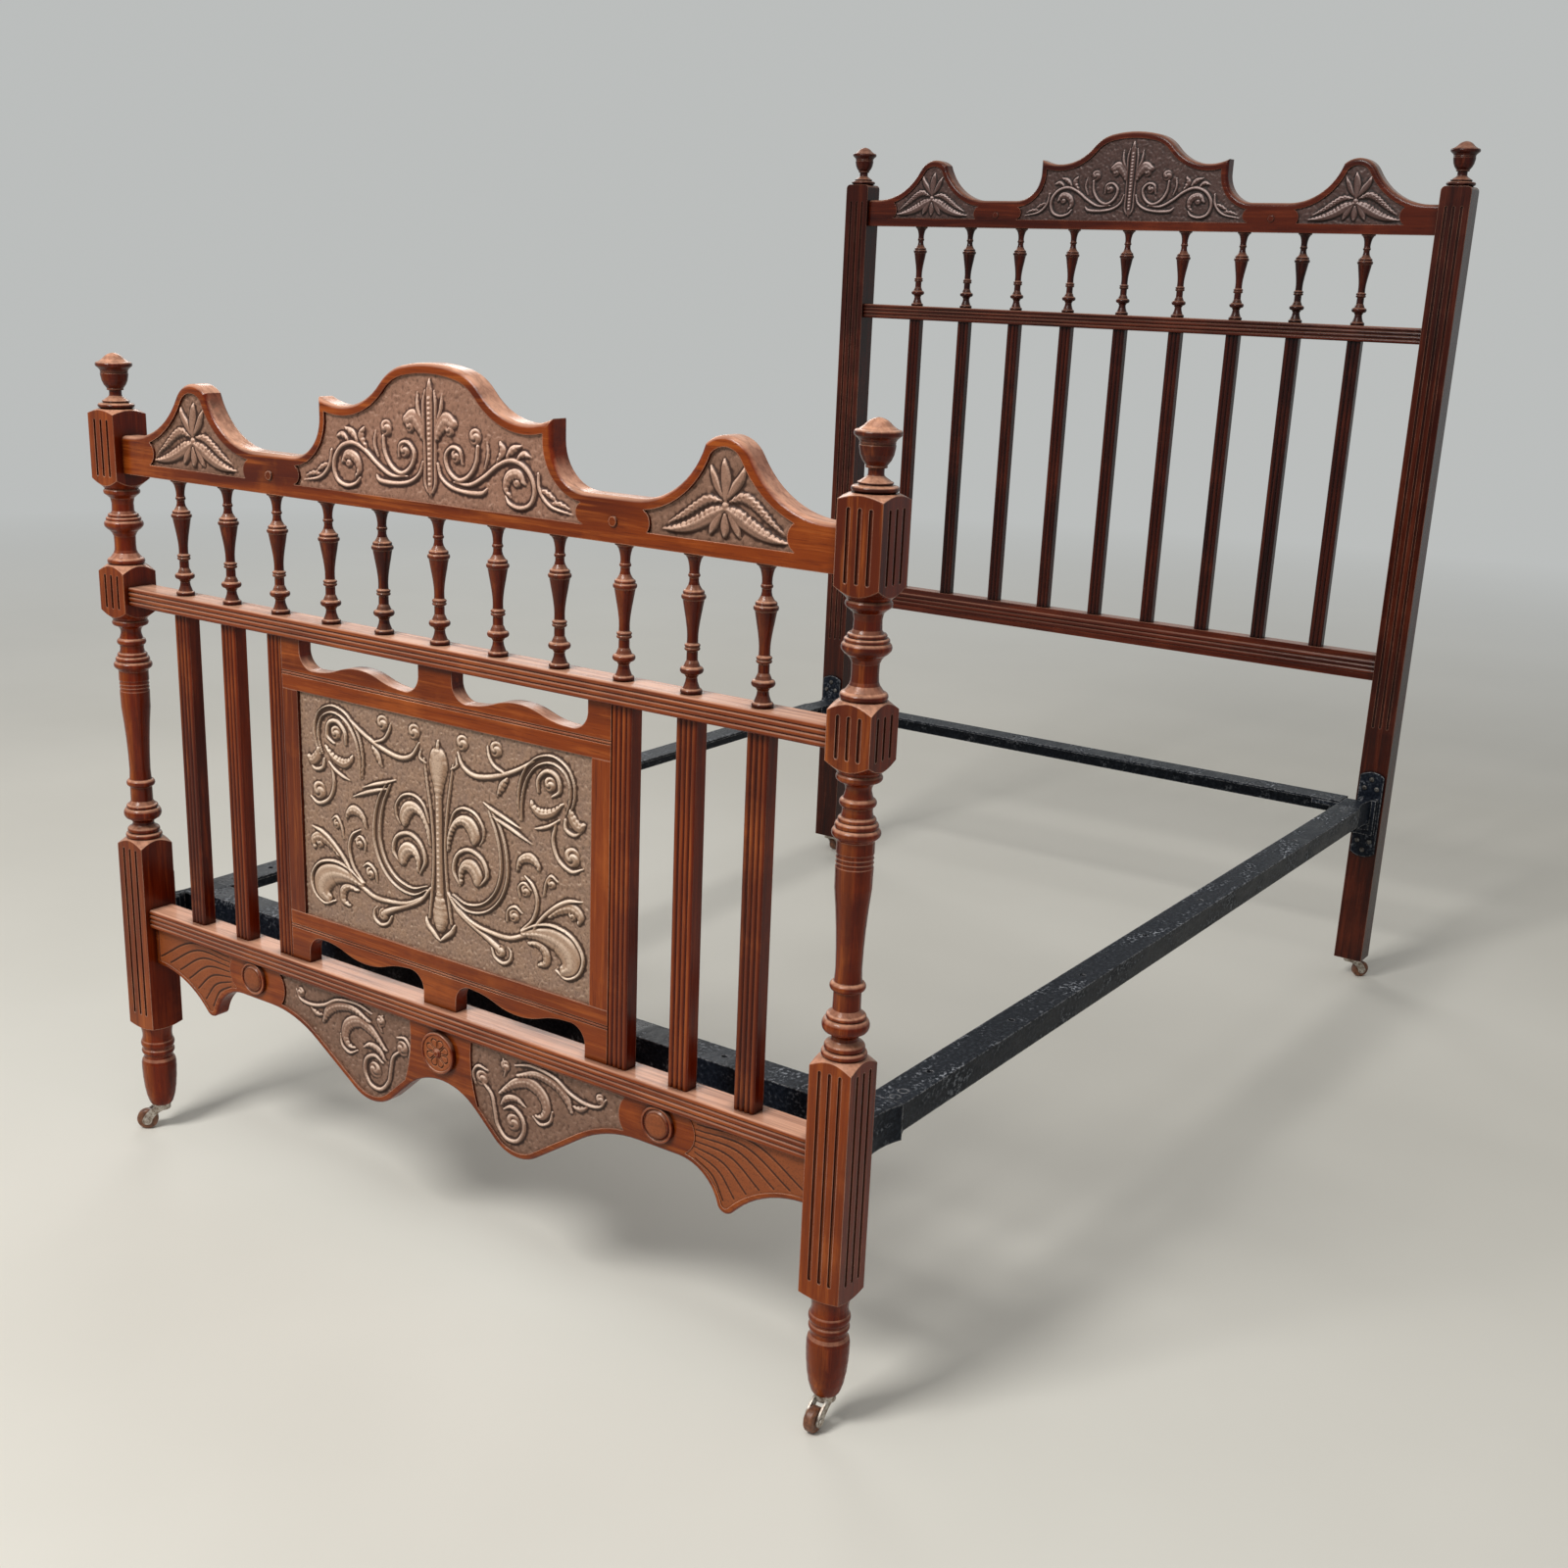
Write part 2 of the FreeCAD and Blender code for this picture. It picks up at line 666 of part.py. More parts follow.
def cut_pilot_holes(body, face, flipped):
    """Bore for the socket's screws in a post's face."""
    sketch = new_sketch(body, "XZ_Plane", face)
    rise = socket_base - d.castor_height
    for u, v in screw_places():
        add_circle(sketch, u, v + rise, d.screw_shank_radius + d.running_clearance)
    pocket(body, sketch, d.screw_length + d.joint_clearance, flipped=flipped)


def cut_end_bores(body, length):
    """Bore the castor socket in the lower end and the finial's dowel hole in the upper end."""
    low = new_sketch(body, "XY_Plane")
    add_circle(low, 0, 0, castor_bore)
    pocket(body, low, d.castor_sleeve_length + d.joint_clearance, flipped=True)
    high = new_sketch(body, "XY_Plane", length)
    add_circle(high, 0, 0, d.dowel_radius + d.joint_clearance)
    pocket(body, high, d.dowel_length + d.joint_clearance)


def turning(body, shares, base, length, drop_below, drop_above):
    """Turn one stretch of a square post, with sloped shoulders on the blocks beside it."""
    corner = foot_half * math.sqrt(2)
    outside = corner + d.cut_overrun
    sketch = new_sketch(body, "XZ_Plane")
    outline = turned(shares, length, foot_half)
    if drop_below:
        outline.insert(0, (corner, -drop_below))
        outline.insert(0, (outside, -drop_below))
    else:
        outline[0] = (outline[0][0], 0)
        outline.insert(0, (outside, 0))
    outline.append((corner, length + drop_above))
    outline.append((outside, length + drop_above))
    add_outline(sketch, lifted(outline, base) if drop_below else outline)
    groove(body, sketch)


def top_pommel(body):
    """Turn the sloped shoulder at the top of a foot post."""
    corner = foot_half * math.sqrt(2)
    low = foot_post_length - d.top_pommel_drop
    sketch = new_sketch(body, "XZ_Plane")
    add_outline(sketch, [(corner, low), (d.finial_radius, foot_post_length), (corner, foot_post_length)])
    groove(body, sketch)


def cut_flutes(body, plane, face, flipped, runs):
    """Cut stopped flutes in one face of a post, for each run of heights."""
    sketch = new_sketch(body, plane, face)
    for low, high in runs:
        for index in range(FLUTES):
            middle = d.flute_pitch * (index - (FLUTES - 1) / 2)
            add_outline(sketch, slot(middle, low, high, d.flute_width / 2))
    pocket(body, sketch, d.flute_depth, flipped=flipped)


def foot_post(name, side):
    body = new_body(f"foot_post_{name}")
    blank = new_sketch(body, "XY_Plane")
    add_outline(blank, rectangle(-foot_half, -foot_half, foot_half, foot_half))
    pad(body, blank, foot_post_length)
    turning(body, FOOT_TURNING_SHARES, 0, low_block_base, None, d.low_pommel_drop)
    turning(body, SHAFT_SHARES, shaft_base, d.shaft_length, d.pommel_drop, d.pommel_drop)
    turning(body, NECK_SHARES, neck_base, d.neck_length, d.pommel_drop, d.pommel_drop)
    top_pommel(body)
    runs = [
        (low_block_base + d.flute_foot_stop, shaft_base - d.flute_stop),
        (mid_block_base + d.flute_stop, neck_base - d.flute_stop),
        (top_block_base + d.flute_stop, foot_post_length - d.flute_stop),
    ]
    cut_flutes(body, "XZ_Plane", foot_half, False, runs)
    cut_flutes(body, "YZ_Plane", foot_half * side, side < 0, runs)
    cut_mortises(body, side, foot_half, foot_tenons)
    cut_pilot_holes(body, -foot_half, True)
    cut_end_bores(body, foot_post_length)
    place(body, half_spacing * side, -half_run, d.castor_height)


def head_post(name, side):
    body = new_body(f"head_post_{name}")
    blank = new_sketch(body, "XZ_Plane")
    top = d.head_post_length
    bend = d.head_post_corner * (1 - math.sqrt(0.5))
    add_outline(blank, [
        (-head_half, 0), (head_half, 0), (head_half, top - d.head_post_corner),
        (head_half - bend, top - bend, "arc"), (head_half - d.head_post_corner, top),
        (d.head_post_corner - head_half, top), (bend - head_half, top - bend, "arc"),
        (-head_half, top - d.head_post_corner),
    ])
    pad(body, blank, d.head_post_depth, both_ways=True)
    front = d.head_post_depth / 2
    runs = [(d.head_flute_start, top - d.head_flute_top_stop)]
    cut_flutes(body, "XZ_Plane", front, False, runs)
    cut_mortises(body, side, head_half, head_tenons)
    cut_pilot_holes(body, front, False)
    cut_end_bores(body, top)
    place(body, half_spacing * side, half_run, d.castor_height)


def finial(name, side, y, base):
    """A turned urn finial on its dowel."""
    body = new_body(name)
    sketch = new_sketch(body, "XZ_Plane")
    profile = turned(FINIAL_SHARES, d.finial_height, d.finial_radius)
    dowel = [(0, -d.dowel_length), (d.dowel_radius, -d.dowel_length), (d.dowel_radius, 0)]
    profile[-1] = (0, d.finial_height)
    add_outline(sketch, dowel + profile)
    revolve(body, sketch)
    place(body, half_spacing * side, y, base)


def round_rim(body, face, clear, radius):
    """Round a board's shaped edge on one face, but not its ends or its straight edge."""
    doc.recompute()
    rims = []
    for index, edge in enumerate(body.Shape.Edges, start=1):
        middle = edge.CenterOfMass
        on_face = abs(middle.y - number(face)) < TOLERANCE
        at_end = abs(abs(middle.x) - number(clear)) < TOLERANCE
        if on_face and not at_end and abs(middle.z) > TOLERANCE:
            rims.append(f"Edge{index}")
    fillet(body, rims, radius)


def fillet(body, rims, radius):
    sharp = body.Tip
    feature = body.newObject("PartDesign::Fillet", "Fillet")
    feature.Base = (sharp, rims)
    bind(feature, "Radius", radius)


def crest_rail(name, y, level, clear, pitch, count):
    """The shaped top rail with its sunk grounds for carving and holes for the spindles."""
    body = new_body(name)
    rise = d.crest_rise
    front = d.crest_thickness / 2
    board = new_sketch(body, "XZ_Plane")
    outline = scaled(CREST_SHARES, clear, rise)
    outline[-1] = (clear, 0)
    add_outline(board, mirrored(outline, top=(0, rise * CREST_TOP_SHARE)))
    pad(body, board, d.crest_thickness, both_ways=True)
    round_rim(body, -front, clear, d.crest_front_round)
    round_rim(body, front, clear, d.crest_back_round)
    tenons = new_sketch(body, "XZ_Plane")
    reach = clear + d.tenon_length
    low = d.crest_tenon_lift
    add_outline(tenons, rectangle(-reach, low, reach, low + d.crest_tenon_height))
    pad(body, tenons, d.tenon_thickness, both_ways=True)
    grounds = new_sketch(body, "XZ_Plane", front)
    centre = scaled(CENTRE_FIELD_SHARES, clear, rise)
    add_outline(grounds, mirrored(centre, top=(0, rise * CENTRE_FIELD_TOP_SHARE)))
    for side in SIDES.values():
        add_outline(grounds, scaled(SIDE_FIELD_SHARES, clear * side, rise))
    pocket(body, grounds, d.crest_field_depth)
    bosses = new_sketch(body, "XZ_Plane", front)
    for side in SIDES.values():
        add_circle(bosses, clear * (CREST_BOSS_SHARE * side), d.crest_boss_rise, d.crest_boss_radius)
    pad(body, bosses, d.crest_boss_proud)
    cut_pin_holes(body, 0, pitch, count, upward=True)
    place(body, 0, y, level)


def cut_pin_holes(body, level, pitch, count, upward):
    """Bore a row of holes for the spindles' pins."""
    sketch = new_sketch(body, "XY_Plane", level)
    for index in range(count):
        add_circle(sketch, pitch * (index - (count - 1) / 2), 0, d.spindle_pin_radius + d.joint_clearance)
    pocket(body, sketch, d.spindle_pin_length + d.joint_clearance, flipped=upward)


def long_rail(name, y, level, clear, section, tenon_low):
    """A rail between two posts: its section run across the bed, with a tenon at each end."""
    body = new_body(name)
    sketch = new_sketch(body, "YZ_Plane")
    add_outline(sketch, section)
    pad(body, sketch, clear * 2, both_ways=True)
    core = new_sketch(body, "YZ_Plane")
    half = d.tenon_thickness / 2
    add_outline(core, rectangle(-half, tenon_low, half, tenon_low + d.rail_tenon_height))
    pad(body, core, (clear + d.tenon_length) * 2, both_ways=True)
    place(body, 0, y, level)
    return body


def reeded_section(depth, height, plain, reeds):
    """A rail section with reeds on the front between two plain margins."""
    front = d.reed_rise - depth / 2
    reeds_run = swapped(reeded(plain, height - plain, front, reeds, d.reed_rise))
    back = depth / 2
    outline = [(back, height), (back, 0)]
    if number(plain):
        outline.append((front, 0))
        reeds_run.append((front, height))
    return outline + reeds_run


def rail_with_reeds(name, y, level, clear, depth, height):
    section = reeded_section(depth, height, 0, RAIL_REEDS)
    return long_rail(name, y, level, clear, section, (height - d.rail_tenon_height) / 2)


def spindle_row(name, y, base, top, pitch, count):
    """A row of turned spindles with a pin at each end."""
    body = new_body(name)
    length = top - base
    sketch = new_sketch(body, "XZ_Plane")
    pin = d.spindle_pin_radius
    foot = [(0, -d.spindle_pin_length), (pin, -d.spindle_pin_length), (pin, 0)]
    profile = turned(SPINDLE_SHARES, length, d.spindle_radius)
    profile[0] = (profile[0][0], 0)
    head = [(pin, length), (pin, length + d.spindle_pin_length), (0, length + d.spindle_pin_length)]
    add_outline(sketch, foot + profile + head)
    first = revolve(body, sketch)
    row_of(body, first, sketch, pitch, count)
    place(body, pitch * ((1 - count) / 2), y, base)


def bar_section(width, depth, reeds):
    half = width / 2
    front = d.reed_rise - depth / 2
    return [(half, depth / 2), (-half, depth / 2)] + reeded(-half, half, front, reeds, d.reed_rise)


def bar_row(name, x, y, base, top, width, depth, reeds, pitch, count):
    """Reeded upright bars standing between two rails."""
    body = new_body(name)
    sketch = new_sketch(body, "XY_Plane")
    add_outline(sketch, bar_section(width, depth, reeds))
    first = pad(body, sketch, top - base)
    if count > 1:
        row_of(body, first, sketch, pitch, count)
    place(body, x, y, base)


def apron():
    """The shaped board under the bottom rail, with sunk grounds for carving."""
    body = new_body("foot_apron")
    drop = -d.apron_drop
    board = new_sketch(body, "XZ_Plane")
    outline = scaled(APRON_SHARES, foot_clear, drop)
    outline[0] = (foot_clear, 0)
    add_outline(board, mirrored(outline, bottom=(0, drop * APRON_ARCH_SHARE)))
    pad(body, board, d.apron_thickness, both_ways=True)
    front = d.apron_thickness / 2
    round_rim(body, -front, foot_clear, d.apron_round)
    grounds = new_sketch(body, "XZ_Plane", front)
    wings = new_sketch(body, "XZ_Plane", front)
    for side in SIDES.values():
        add_outline(grounds, scaled(APRON_FIELD_SHARES, foot_clear * side, drop))
        add_outline(wings, scaled(WING_FIELD_SHARES, foot_clear * side, drop))
    pocket(body, grounds, d.apron_field_depth)
    pocket(body, wings, d.apron_wing_depth)
    place(body, 0, -half_run, d.foot_low_level)


def turned_boss(body, x, drop, front, shares, height, radius):
    """A turned boss that stands forward of a board's front."""
    sketch = new_sketch(body, "XY_Plane", -drop)
    outline = [(x + radius * r, -(front + height * z), *mark) for z, r, *mark in shares]
    outline[-1] = (x, outline[-1][1])
    add_outline(sketch, [(x, -front)] + outline)
    add_axis(sketch, (x, -front), (x, 0))
    revolve(body, sketch, "Axis0")


def apron_bosses():
    """The two turned roundels and the middle rosette that stand on the apron."""
    body = new_body("apron_bosses")
    front = d.apron_thickness / 2
    for side in SIDES.values():
        place_x = d.apron_boss_place * side
        turned_boss(
            body, place_x, d.apron_boss_drop, front, BOSS_SHARES, d.apron_boss_height, d.apron_boss_radius
        )
    turned_boss(body, 0, d.rosette_drop, front, ROSETTE_SHARES, d.rosette_height, d.rosette_radius)
    place(body, 0, -half_run, d.foot_low_level)


def panel_rail(name, level, up):
    """A fretted rail of the panel frame, with a groove for the panel and a scratched bead."""
    body = new_body(name)
    half = d.panel_frame_half_width
    front = d.panel_frame_thickness / 2
    sketch = new_sketch(body, "XZ_Plane")
    outline = scaled(PANEL_RAIL_SHARES, half, d.panel_rail_height * up)
    outline[-1] = (half, 0)
    add_outline(sketch, mirrored(outline))
    pad(body, sketch, d.panel_frame_thickness, both_ways=True)
    channel = new_sketch(body, "XY_Plane")
    low, high = panel_channel()
    add_outline(channel, rectangle(-half, low, half, high))
    pocket(body, channel, d.panel_tongue + d.joint_clearance, flipped=up > 0)
    beads = new_sketch(body, "XZ_Plane", front)
    for step in range(2):
        level_line = (d.scratch_lift + d.scratch_pitch * step) * up
        add_outline(beads, rectangle(-half, level_line, half, level_line + d.scratch_width * up))
    pocket(body, beads, d.scratch_depth)
    place(body, 0, -half_run, level)


def panel_channel():
    """Front and back of the groove that holds the panel."""
    low = d.panel_setback - d.panel_frame_thickness / 2 - d.joint_clearance
    return low, low + d.panel_thickness + d.joint_clearance * 2


def panel_stile(name, side):
    """A flat upright of the panel frame, grooved for the panel."""
    body = new_body(f"panel_stile_{name}")
    sketch = new_sketch(body, "XY_Plane")
    half = d.panel_frame_thickness / 2
    width = d.panel_stile_width
    bed = d.panel_tongue + d.joint_clearance
    low, high = panel_channel()
    outline = [
        (0, -half), (width, -half), (width, half), (0, half),
        (0, high), (bed, high), (bed, low), (0, low),
    ]
    add_outline(sketch, [(u * side, v) for u, v in outline])
    pad(body, sketch, panel_top - panel_base)
    place(body, (d.panel_frame_half_width - width) * side, -half_run, panel_base)


def carved_panel():
    """The board that carries the carving, held in the frame's grooves."""
    body = new_body("carved_panel")
    sketch = new_sketch(body, "XZ_Plane")
    half = d.panel_frame_half_width - d.panel_stile_width + d.panel_tongue
    height = panel_top - panel_base
    add_outline(sketch, rectangle(-half, -d.panel_tongue, half, height + d.panel_tongue))
    pad(body, sketch, d.panel_thickness, flipped=True)
    place(body, 0, d.panel_setback - d.panel_frame_thickness / 2 - half_run, panel_base)


def side_iron(name, side):
    """An angle iron along one side, drilled in its top for the laths' pegs."""
    body = new_body(f"side_iron_{name}")
    outer = d.side_iron_offset
    inner = outer - d.iron_top_width
    web = outer - d.iron_thickness
    sketch = new_sketch(body, "XZ_Plane")
    outline = [
        (outer, 0), (inner, 0), (inner, -d.iron_thickness), (web, -d.iron_thickness),
        (web, -d.iron_side_height), (outer, -d.iron_side_height),
    ]
    add_outline(sketch, [(u * side, v) for u, v in outline])
    pad(body, sketch, side_iron_head - side_iron_foot)
    holes = new_sketch(body, "XY_Plane")
    for index in range(SIDE_HOLES):
        along = side_hole_run * (index / (SIDE_HOLES - 1)) + side_iron_foot + d.side_hole_foot_margin
        add_circle(
            holes, (outer - d.iron_top_width / 2) * side, along - side_iron_head, d.iron_hole_radius
        )
    for end in (FOOT, HEAD):
        for u, v in rivet_places():
            along = face_of(end) - v * end - side_iron_head
            add_circle(holes, u * side, along, stud_bore)
    pocket(body, holes, d.iron_thickness + d.cut_overrun)
    countersink(body)
    place(body, half_spacing * side, side_iron_head, d.iron_level)


def cross_iron(name, end):
    """An angle iron across one end, resting on the corner castings' shelves."""
    body = new_body(name)
    inward = -end
    sketch = new_sketch(body, "YZ_Plane")
    outline = [
        (0, 0), (d.iron_top_width, 0), (d.iron_top_width, -d.iron_thickness),
        (d.iron_thickness, -d.iron_thickness), (d.iron_thickness, -d.iron_side_height),
        (0, -d.iron_side_height),
    ]
    add_outline(sketch, [(u * inward, v) for u, v in outline])
    pad(body, sketch, (half_spacing + casting_inner - d.bar_end_gap) * 2, both_ways=True)
    holes = new_sketch(body, "XY_Plane")
    for index in range(BAR_HOLES):
        across = d.bar_hole_pitch * (index - (BAR_HOLES - 1) / 2)
        add_circle(holes, across, d.iron_top_width / 2 * inward, d.iron_hole_radius)
    for side in SIDES.values():
        for u in shelf_bolts:
            across = (half_spacing + u) * side
            add_circle(holes, across, d.iron_top_width / 2 * inward, stud_bore)
    pocket(body, holes, d.iron_thickness + d.cut_overrun)
    countersink(body)
    place(body, 0, face_of(end) - standoff_of(end) * end, d.iron_level)


def is_ring(edge, radius):
    return isinstance(edge.Curve, Part.Circle) and abs(edge.Curve.Radius - number(radius)) < TOLERANCE


def countersink(body):
    """Open the stud holes in an iron's top, which lies in the body's own ground plane."""
    doc.recompute()
    rims = []
    for index, edge in enumerate(body.Shape.Edges, start=1):
        if is_ring(edge, stud_bore) and edge.Curve.Center.z > -TOLERANCE:
            rims.append(f"Edge{index}")
    drilled = body.Tip
    feature = body.newObject("PartDesign::Chamfer", "Chamfer")
    feature.Base = (drilled, rims)
    bind(feature, "Size", d.stud_head_height)


def face_of(end):
    """The post face that a socket is screwed to."""
    if end == FOOT:
        return foot_half - half_run
    return half_run - d.head_post_depth / 2


def standoff_of(end):
    return d.foot_bar_standoff if end == FOOT else d.head_bar_standoff


def rivet_places():
    """Rivets through the side iron into a casting: out from the post's axis, in from its face."""
    middle = d.side_iron_offset - d.iron_thickness - d.casting_lap_width / 2
    return [(middle, d.casting_reach + d.casting_lap * share) for share in LAP_RIVET_SHARES]


def corner_casting(name, side, end):
    """The cast corner that joins the irons and drops by a dovetail tongue into the post's socket."""
    body = new_body(f"corner_casting_{name}")
    outer = d.side_iron_offset
    neck = d.casting_neck_width / 2
    start = d.socket_housing + d.joint_clearance

    def plan(points):
        return [(u * side, v * -end, *mark) for u, v, *mark in points]

    main = new_sketch(body, "XY_Plane", d.iron_level - d.casting_depth)
    waist = (outer * CASTING_WAIST_SHARE, (start + d.casting_reach) / 2, "arc")
    add_outline(main, plan([
        (neck, start), waist, (outer, d.casting_reach), (casting_inner, d.casting_reach),
        (casting_inner, d.casting_neck_start), (-neck, d.casting_neck_start), (-neck, start),
    ]))
    pad(body, main, d.casting_depth)
    lap = new_sketch(body, "XY_Plane", d.iron_level - d.casting_depth)
    lap_outer = outer - d.iron_thickness
    lap_end = d.casting_reach + d.casting_lap
    add_outline(lap, plan(rectangle(lap_outer - d.casting_lap_width, d.casting_reach, lap_outer, lap_end)))
    pad(body, lap, d.casting_depth - d.iron_thickness)
    sweep = new_sketch(body, "YZ_Plane")
    low = d.iron_level - d.casting_depth
    curve = scaled(SWEEP_SHARES, d.casting_sweep, d.casting_depth - d.iron_side_height)
    edge = [(v + d.casting_reach, z + low, *mark) for v, z, *mark in curve]
    beyond = lap_end + d.cut_overrun
    edge += [(beyond, d.iron_level - d.iron_side_height), (beyond, low - d.cut_overrun)]
    edge.append((d.casting_reach, low - d.cut_overrun))
    add_outline(sweep, [(v * -end, z, *mark) for v, z, *mark in edge])
    pocket(body, sweep, (d.casting_lap_width + d.cut_overrun) * 2, both_ways=True)
    tongue = new_sketch(body, "XY_Plane", d.iron_level - d.tongue_height)
    wide = d.tongue_width / 2
    mouth = wide * SLOT_MOUTH_SHARE
    back = d.socket_plate + d.joint_clearance
    add_outline(tongue, plan([(-wide, back), (wide, back), (mouth, start), (-mouth, start)]))
    pad(body, tongue, d.tongue_height)
    shelf_top = d.iron_level - d.iron_thickness
    shelf = new_sketch(body, "XY_Plane", shelf_top - d.shelf_thickness)
    near = standoff_of(end) + d.iron_thickness + d.joint_clearance
    far = standoff_of(end) + d.iron_top_width
    add_outline(shelf, plan(rectangle(casting_inner - d.shelf_length, near, casting_inner, far)))
    pad(body, shelf, d.shelf_thickness)
    holes = new_sketch(body, "XY_Plane", shelf_top)
    for u in shelf_bolts:
        add_circle(holes, u * side, (standoff_of(end) + d.iron_top_width / 2) * -end, stud_bore)
    for u, v in rivet_places():
        add_circle(holes, u * side, v * -end, stud_bore)
    pocket(body, holes, d.casting_depth)
    place(body, half_spacing * side, face_of(end), 0)


def post_socket(name, side, end):
    """The cast plate on a post, with a dovetail slot for the casting's tongue."""
    body = new_body(f"post_socket_{name}")
    half = d.socket_width / 2
    top = socket_base + d.socket_height
    outward = end == FOOT
    plate = new_sketch(body, "XZ_Plane")
    add_outline(plate, [
        (-half, socket_base + d.socket_crown), (0, socket_base, "arc"),
        (half, socket_base + d.socket_crown), (half, top - d.socket_crown),
        (0, top, "arc"), (-half, top - d.socket_crown),
    ])
    pad(body, plate, d.socket_plate, flipped=outward)
    housing = new_sketch(body, "XZ_Plane")
    slot_floor = d.iron_level - d.tongue_height
    cheek = d.socket_housing_width / 2
    add_outline(housing, rectangle(-cheek, slot_floor - d.socket_wall_under, cheek, d.iron_level))
    pad(body, housing, d.socket_housing, flipped=outward)
    dovetail = new_sketch(body, "XY_Plane", d.iron_level)
    wide = d.tongue_width / 2 + d.joint_clearance
    mouth = d.tongue_width / 2 * SLOT_MOUTH_SHARE + d.joint_clearance
    outline = [
        (-wide, d.socket_plate), (wide, d.socket_plate),
        (mouth, d.socket_housing), (-mouth, d.socket_housing),
    ]
    add_outline(dovetail, [(u, v * -end) for u, v in outline])
    pocket(body, dovetail, d.tongue_height)
    holes = new_sketch(body, "XZ_Plane")
    for u, v in screw_places():
        add_circle(holes, u, v + socket_base, d.screw_shank_radius + d.running_clearance)
    pocket(body, holes, d.socket_plate + d.cut_overrun, flipped=end == HEAD)
    place(body, half_spacing * side, face_of(end), 0)


def round_heads(body, radius, height):
    """Round the outer rims of the heads that were padded last."""
    doc.recompute()
    rims = []
    for index, edge in enumerate(body.Shape.Edges, start=1):
        faces = body.Shape.ancestorsOfType(edge, Part.Face) if is_ring(edge, radius) else []
        if any(isinstance(face.Surface, Part.Plane) and len(face.Wires) == 1 for face in faces):
            rims.append(f"Edge{index}")
    fillet(body, rims, height * HEAD_FILLET_SHARE)


def bracket_screws():
    """The round-headed screws that hold the sockets to the posts."""
    body = new_body("bracket_screws")
    for end in (FOOT, HEAD):
        plate_front = face_of(end) - d.socket_plate * end
        shanks = new_sketch(body, "XZ_Plane", -plate_front)
        heads = new_sketch(body, "XZ_Plane", -plate_front)
        for side in SIDES.values():
            for u, v in screw_places():
                add_circle(shanks, half_spacing * side + u, v + socket_base, d.screw_shank_radius)
                add_circle(heads, half_spacing * side + u, v + socket_base, d.screw_head_radius)
        pad(body, shanks, d.screw_length, flipped=end == HEAD)
        pad(body, heads, d.screw_head_height, flipped=end == FOOT)
    round_heads(body, d.screw_head_radius, d.screw_head_height)


def studs(name, places, grip):
    """Studs through the irons, each with a flush countersunk head and a shank as long as its grip."""
    body = new_body(name)
    low = d.iron_level - grip
    for x, y in places:
        sketch = new_sketch(body, "XZ_Plane", -y)
        edge = x + d.stud_shank_radius
        add_outline(sketch, [
            (x, low), (edge, low), (edge, d.iron_level - d.stud_head_height),
            (edge + d.stud_head_height, d.iron_level), (x, d.iron_level),
        ])
        add_axis(sketch, (x, low), (x, d.iron_level))
        revolve(body, sketch, "Axis0")


def all_studs():
    bolts = []
    rivets = []
    for end in (FOOT, HEAD):
        for side in SIDES.values():
            row = face_of(end) - (standoff_of(end) + d.iron_top_width / 2) * end
            bolts.extend(((half_spacing + u) * side, row) for u in shelf_bolts)
            rivets.extend(((half_spacing + u) * side, face_of(end) - v * end) for u, v in rivet_places())
    studs("bar_bolts", bolts, d.iron_thickness + d.shelf_thickness)
    studs("rail_rivets", rivets, d.casting_depth)


def castor_plate(name, x, y):
    """The plate and sleeve let into a post's lower end."""
    body = new_body(f"castor_plate_{name}")
    bore = d.castor_stem_radius + d.running_clearance
    low = d.castor_height - d.castor_plate_thickness
    sleeve_top = d.castor_height + d.castor_sleeve_length
    sketch = new_sketch(body, "XZ_Plane")
    add_outline(sketch, [
        (bore, low), (d.castor_plate_radius, low), (d.castor_plate_radius, d.castor_height),
        (d.castor_sleeve_radius, d.castor_height), (d.castor_sleeve_radius, sleeve_top), (bore, sleeve_top),
    ])
    revolve(body, sketch)
    place(body, x, y, 0)


def castor_horn(name, x, y, yaw):
    """The swivelling horn: a stem in the sleeve, a disc and two curved arms to the axle."""
    body = new_body(f"castor_horn_{name}")
    disc_low = d.wheel_radius * 2 + d.horn_crown_gap
    disc_top = d.castor_height - d.castor_plate_thickness - d.swivel_gap
    stem_top = d.castor_height + d.castor_sleeve_length - d.swivel_gap
    sketch = new_sketch(body, "XZ_Plane")
    add_outline(sketch, [
        (0, disc_low), (d.horn_disc_radius, disc_low), (d.horn_disc_radius, disc_top),
        (d.castor_stem_radius, disc_top), (d.castor_stem_radius, stem_top), (0, stem_top),
    ])
    revolve(body, sketch)
    boss = d.horn_boss_radius
    bulge = boss * HORN_BULGE_SHARE
    tip = d.castor_trail + boss
    heel = d.castor_trail - boss
    arm = [
        (-d.horn_arm_back, disc_top), (d.horn_arm_front, disc_top),
        ((d.horn_arm_front + tip) / 2 + bulge, (disc_top + d.wheel_radius) / 2 + bulge, "arc"),
        (tip, d.wheel_radius), (d.castor_trail, d.wheel_radius - boss, "arc"), (heel, d.wheel_radius),
        ((heel - d.horn_arm_back) / 2 + bulge, (disc_low + d.wheel_radius) / 2 + bulge, "arc"),
        (-d.horn_arm_back, disc_low),
    ]
    gap = d.wheel_width / 2 + d.horn_side_gap
    for flank in (-1, 1):
        cheek = new_sketch(body, "XZ_Plane", gap * flank)
        add_outline(cheek, arm)
        pad(body, cheek, d.horn_arm_thickness, flipped=flank < 0)
    eye = new_sketch(body, "XZ_Plane")
    add_circle(eye, d.castor_trail, d.wheel_radius, d.axle_radius + d.running_clearance)
    pocket(body, eye, (gap + d.horn_arm_thickness + d.cut_overrun) * 2, both_ways=True)
    place(body, x, y, 0, yaw)


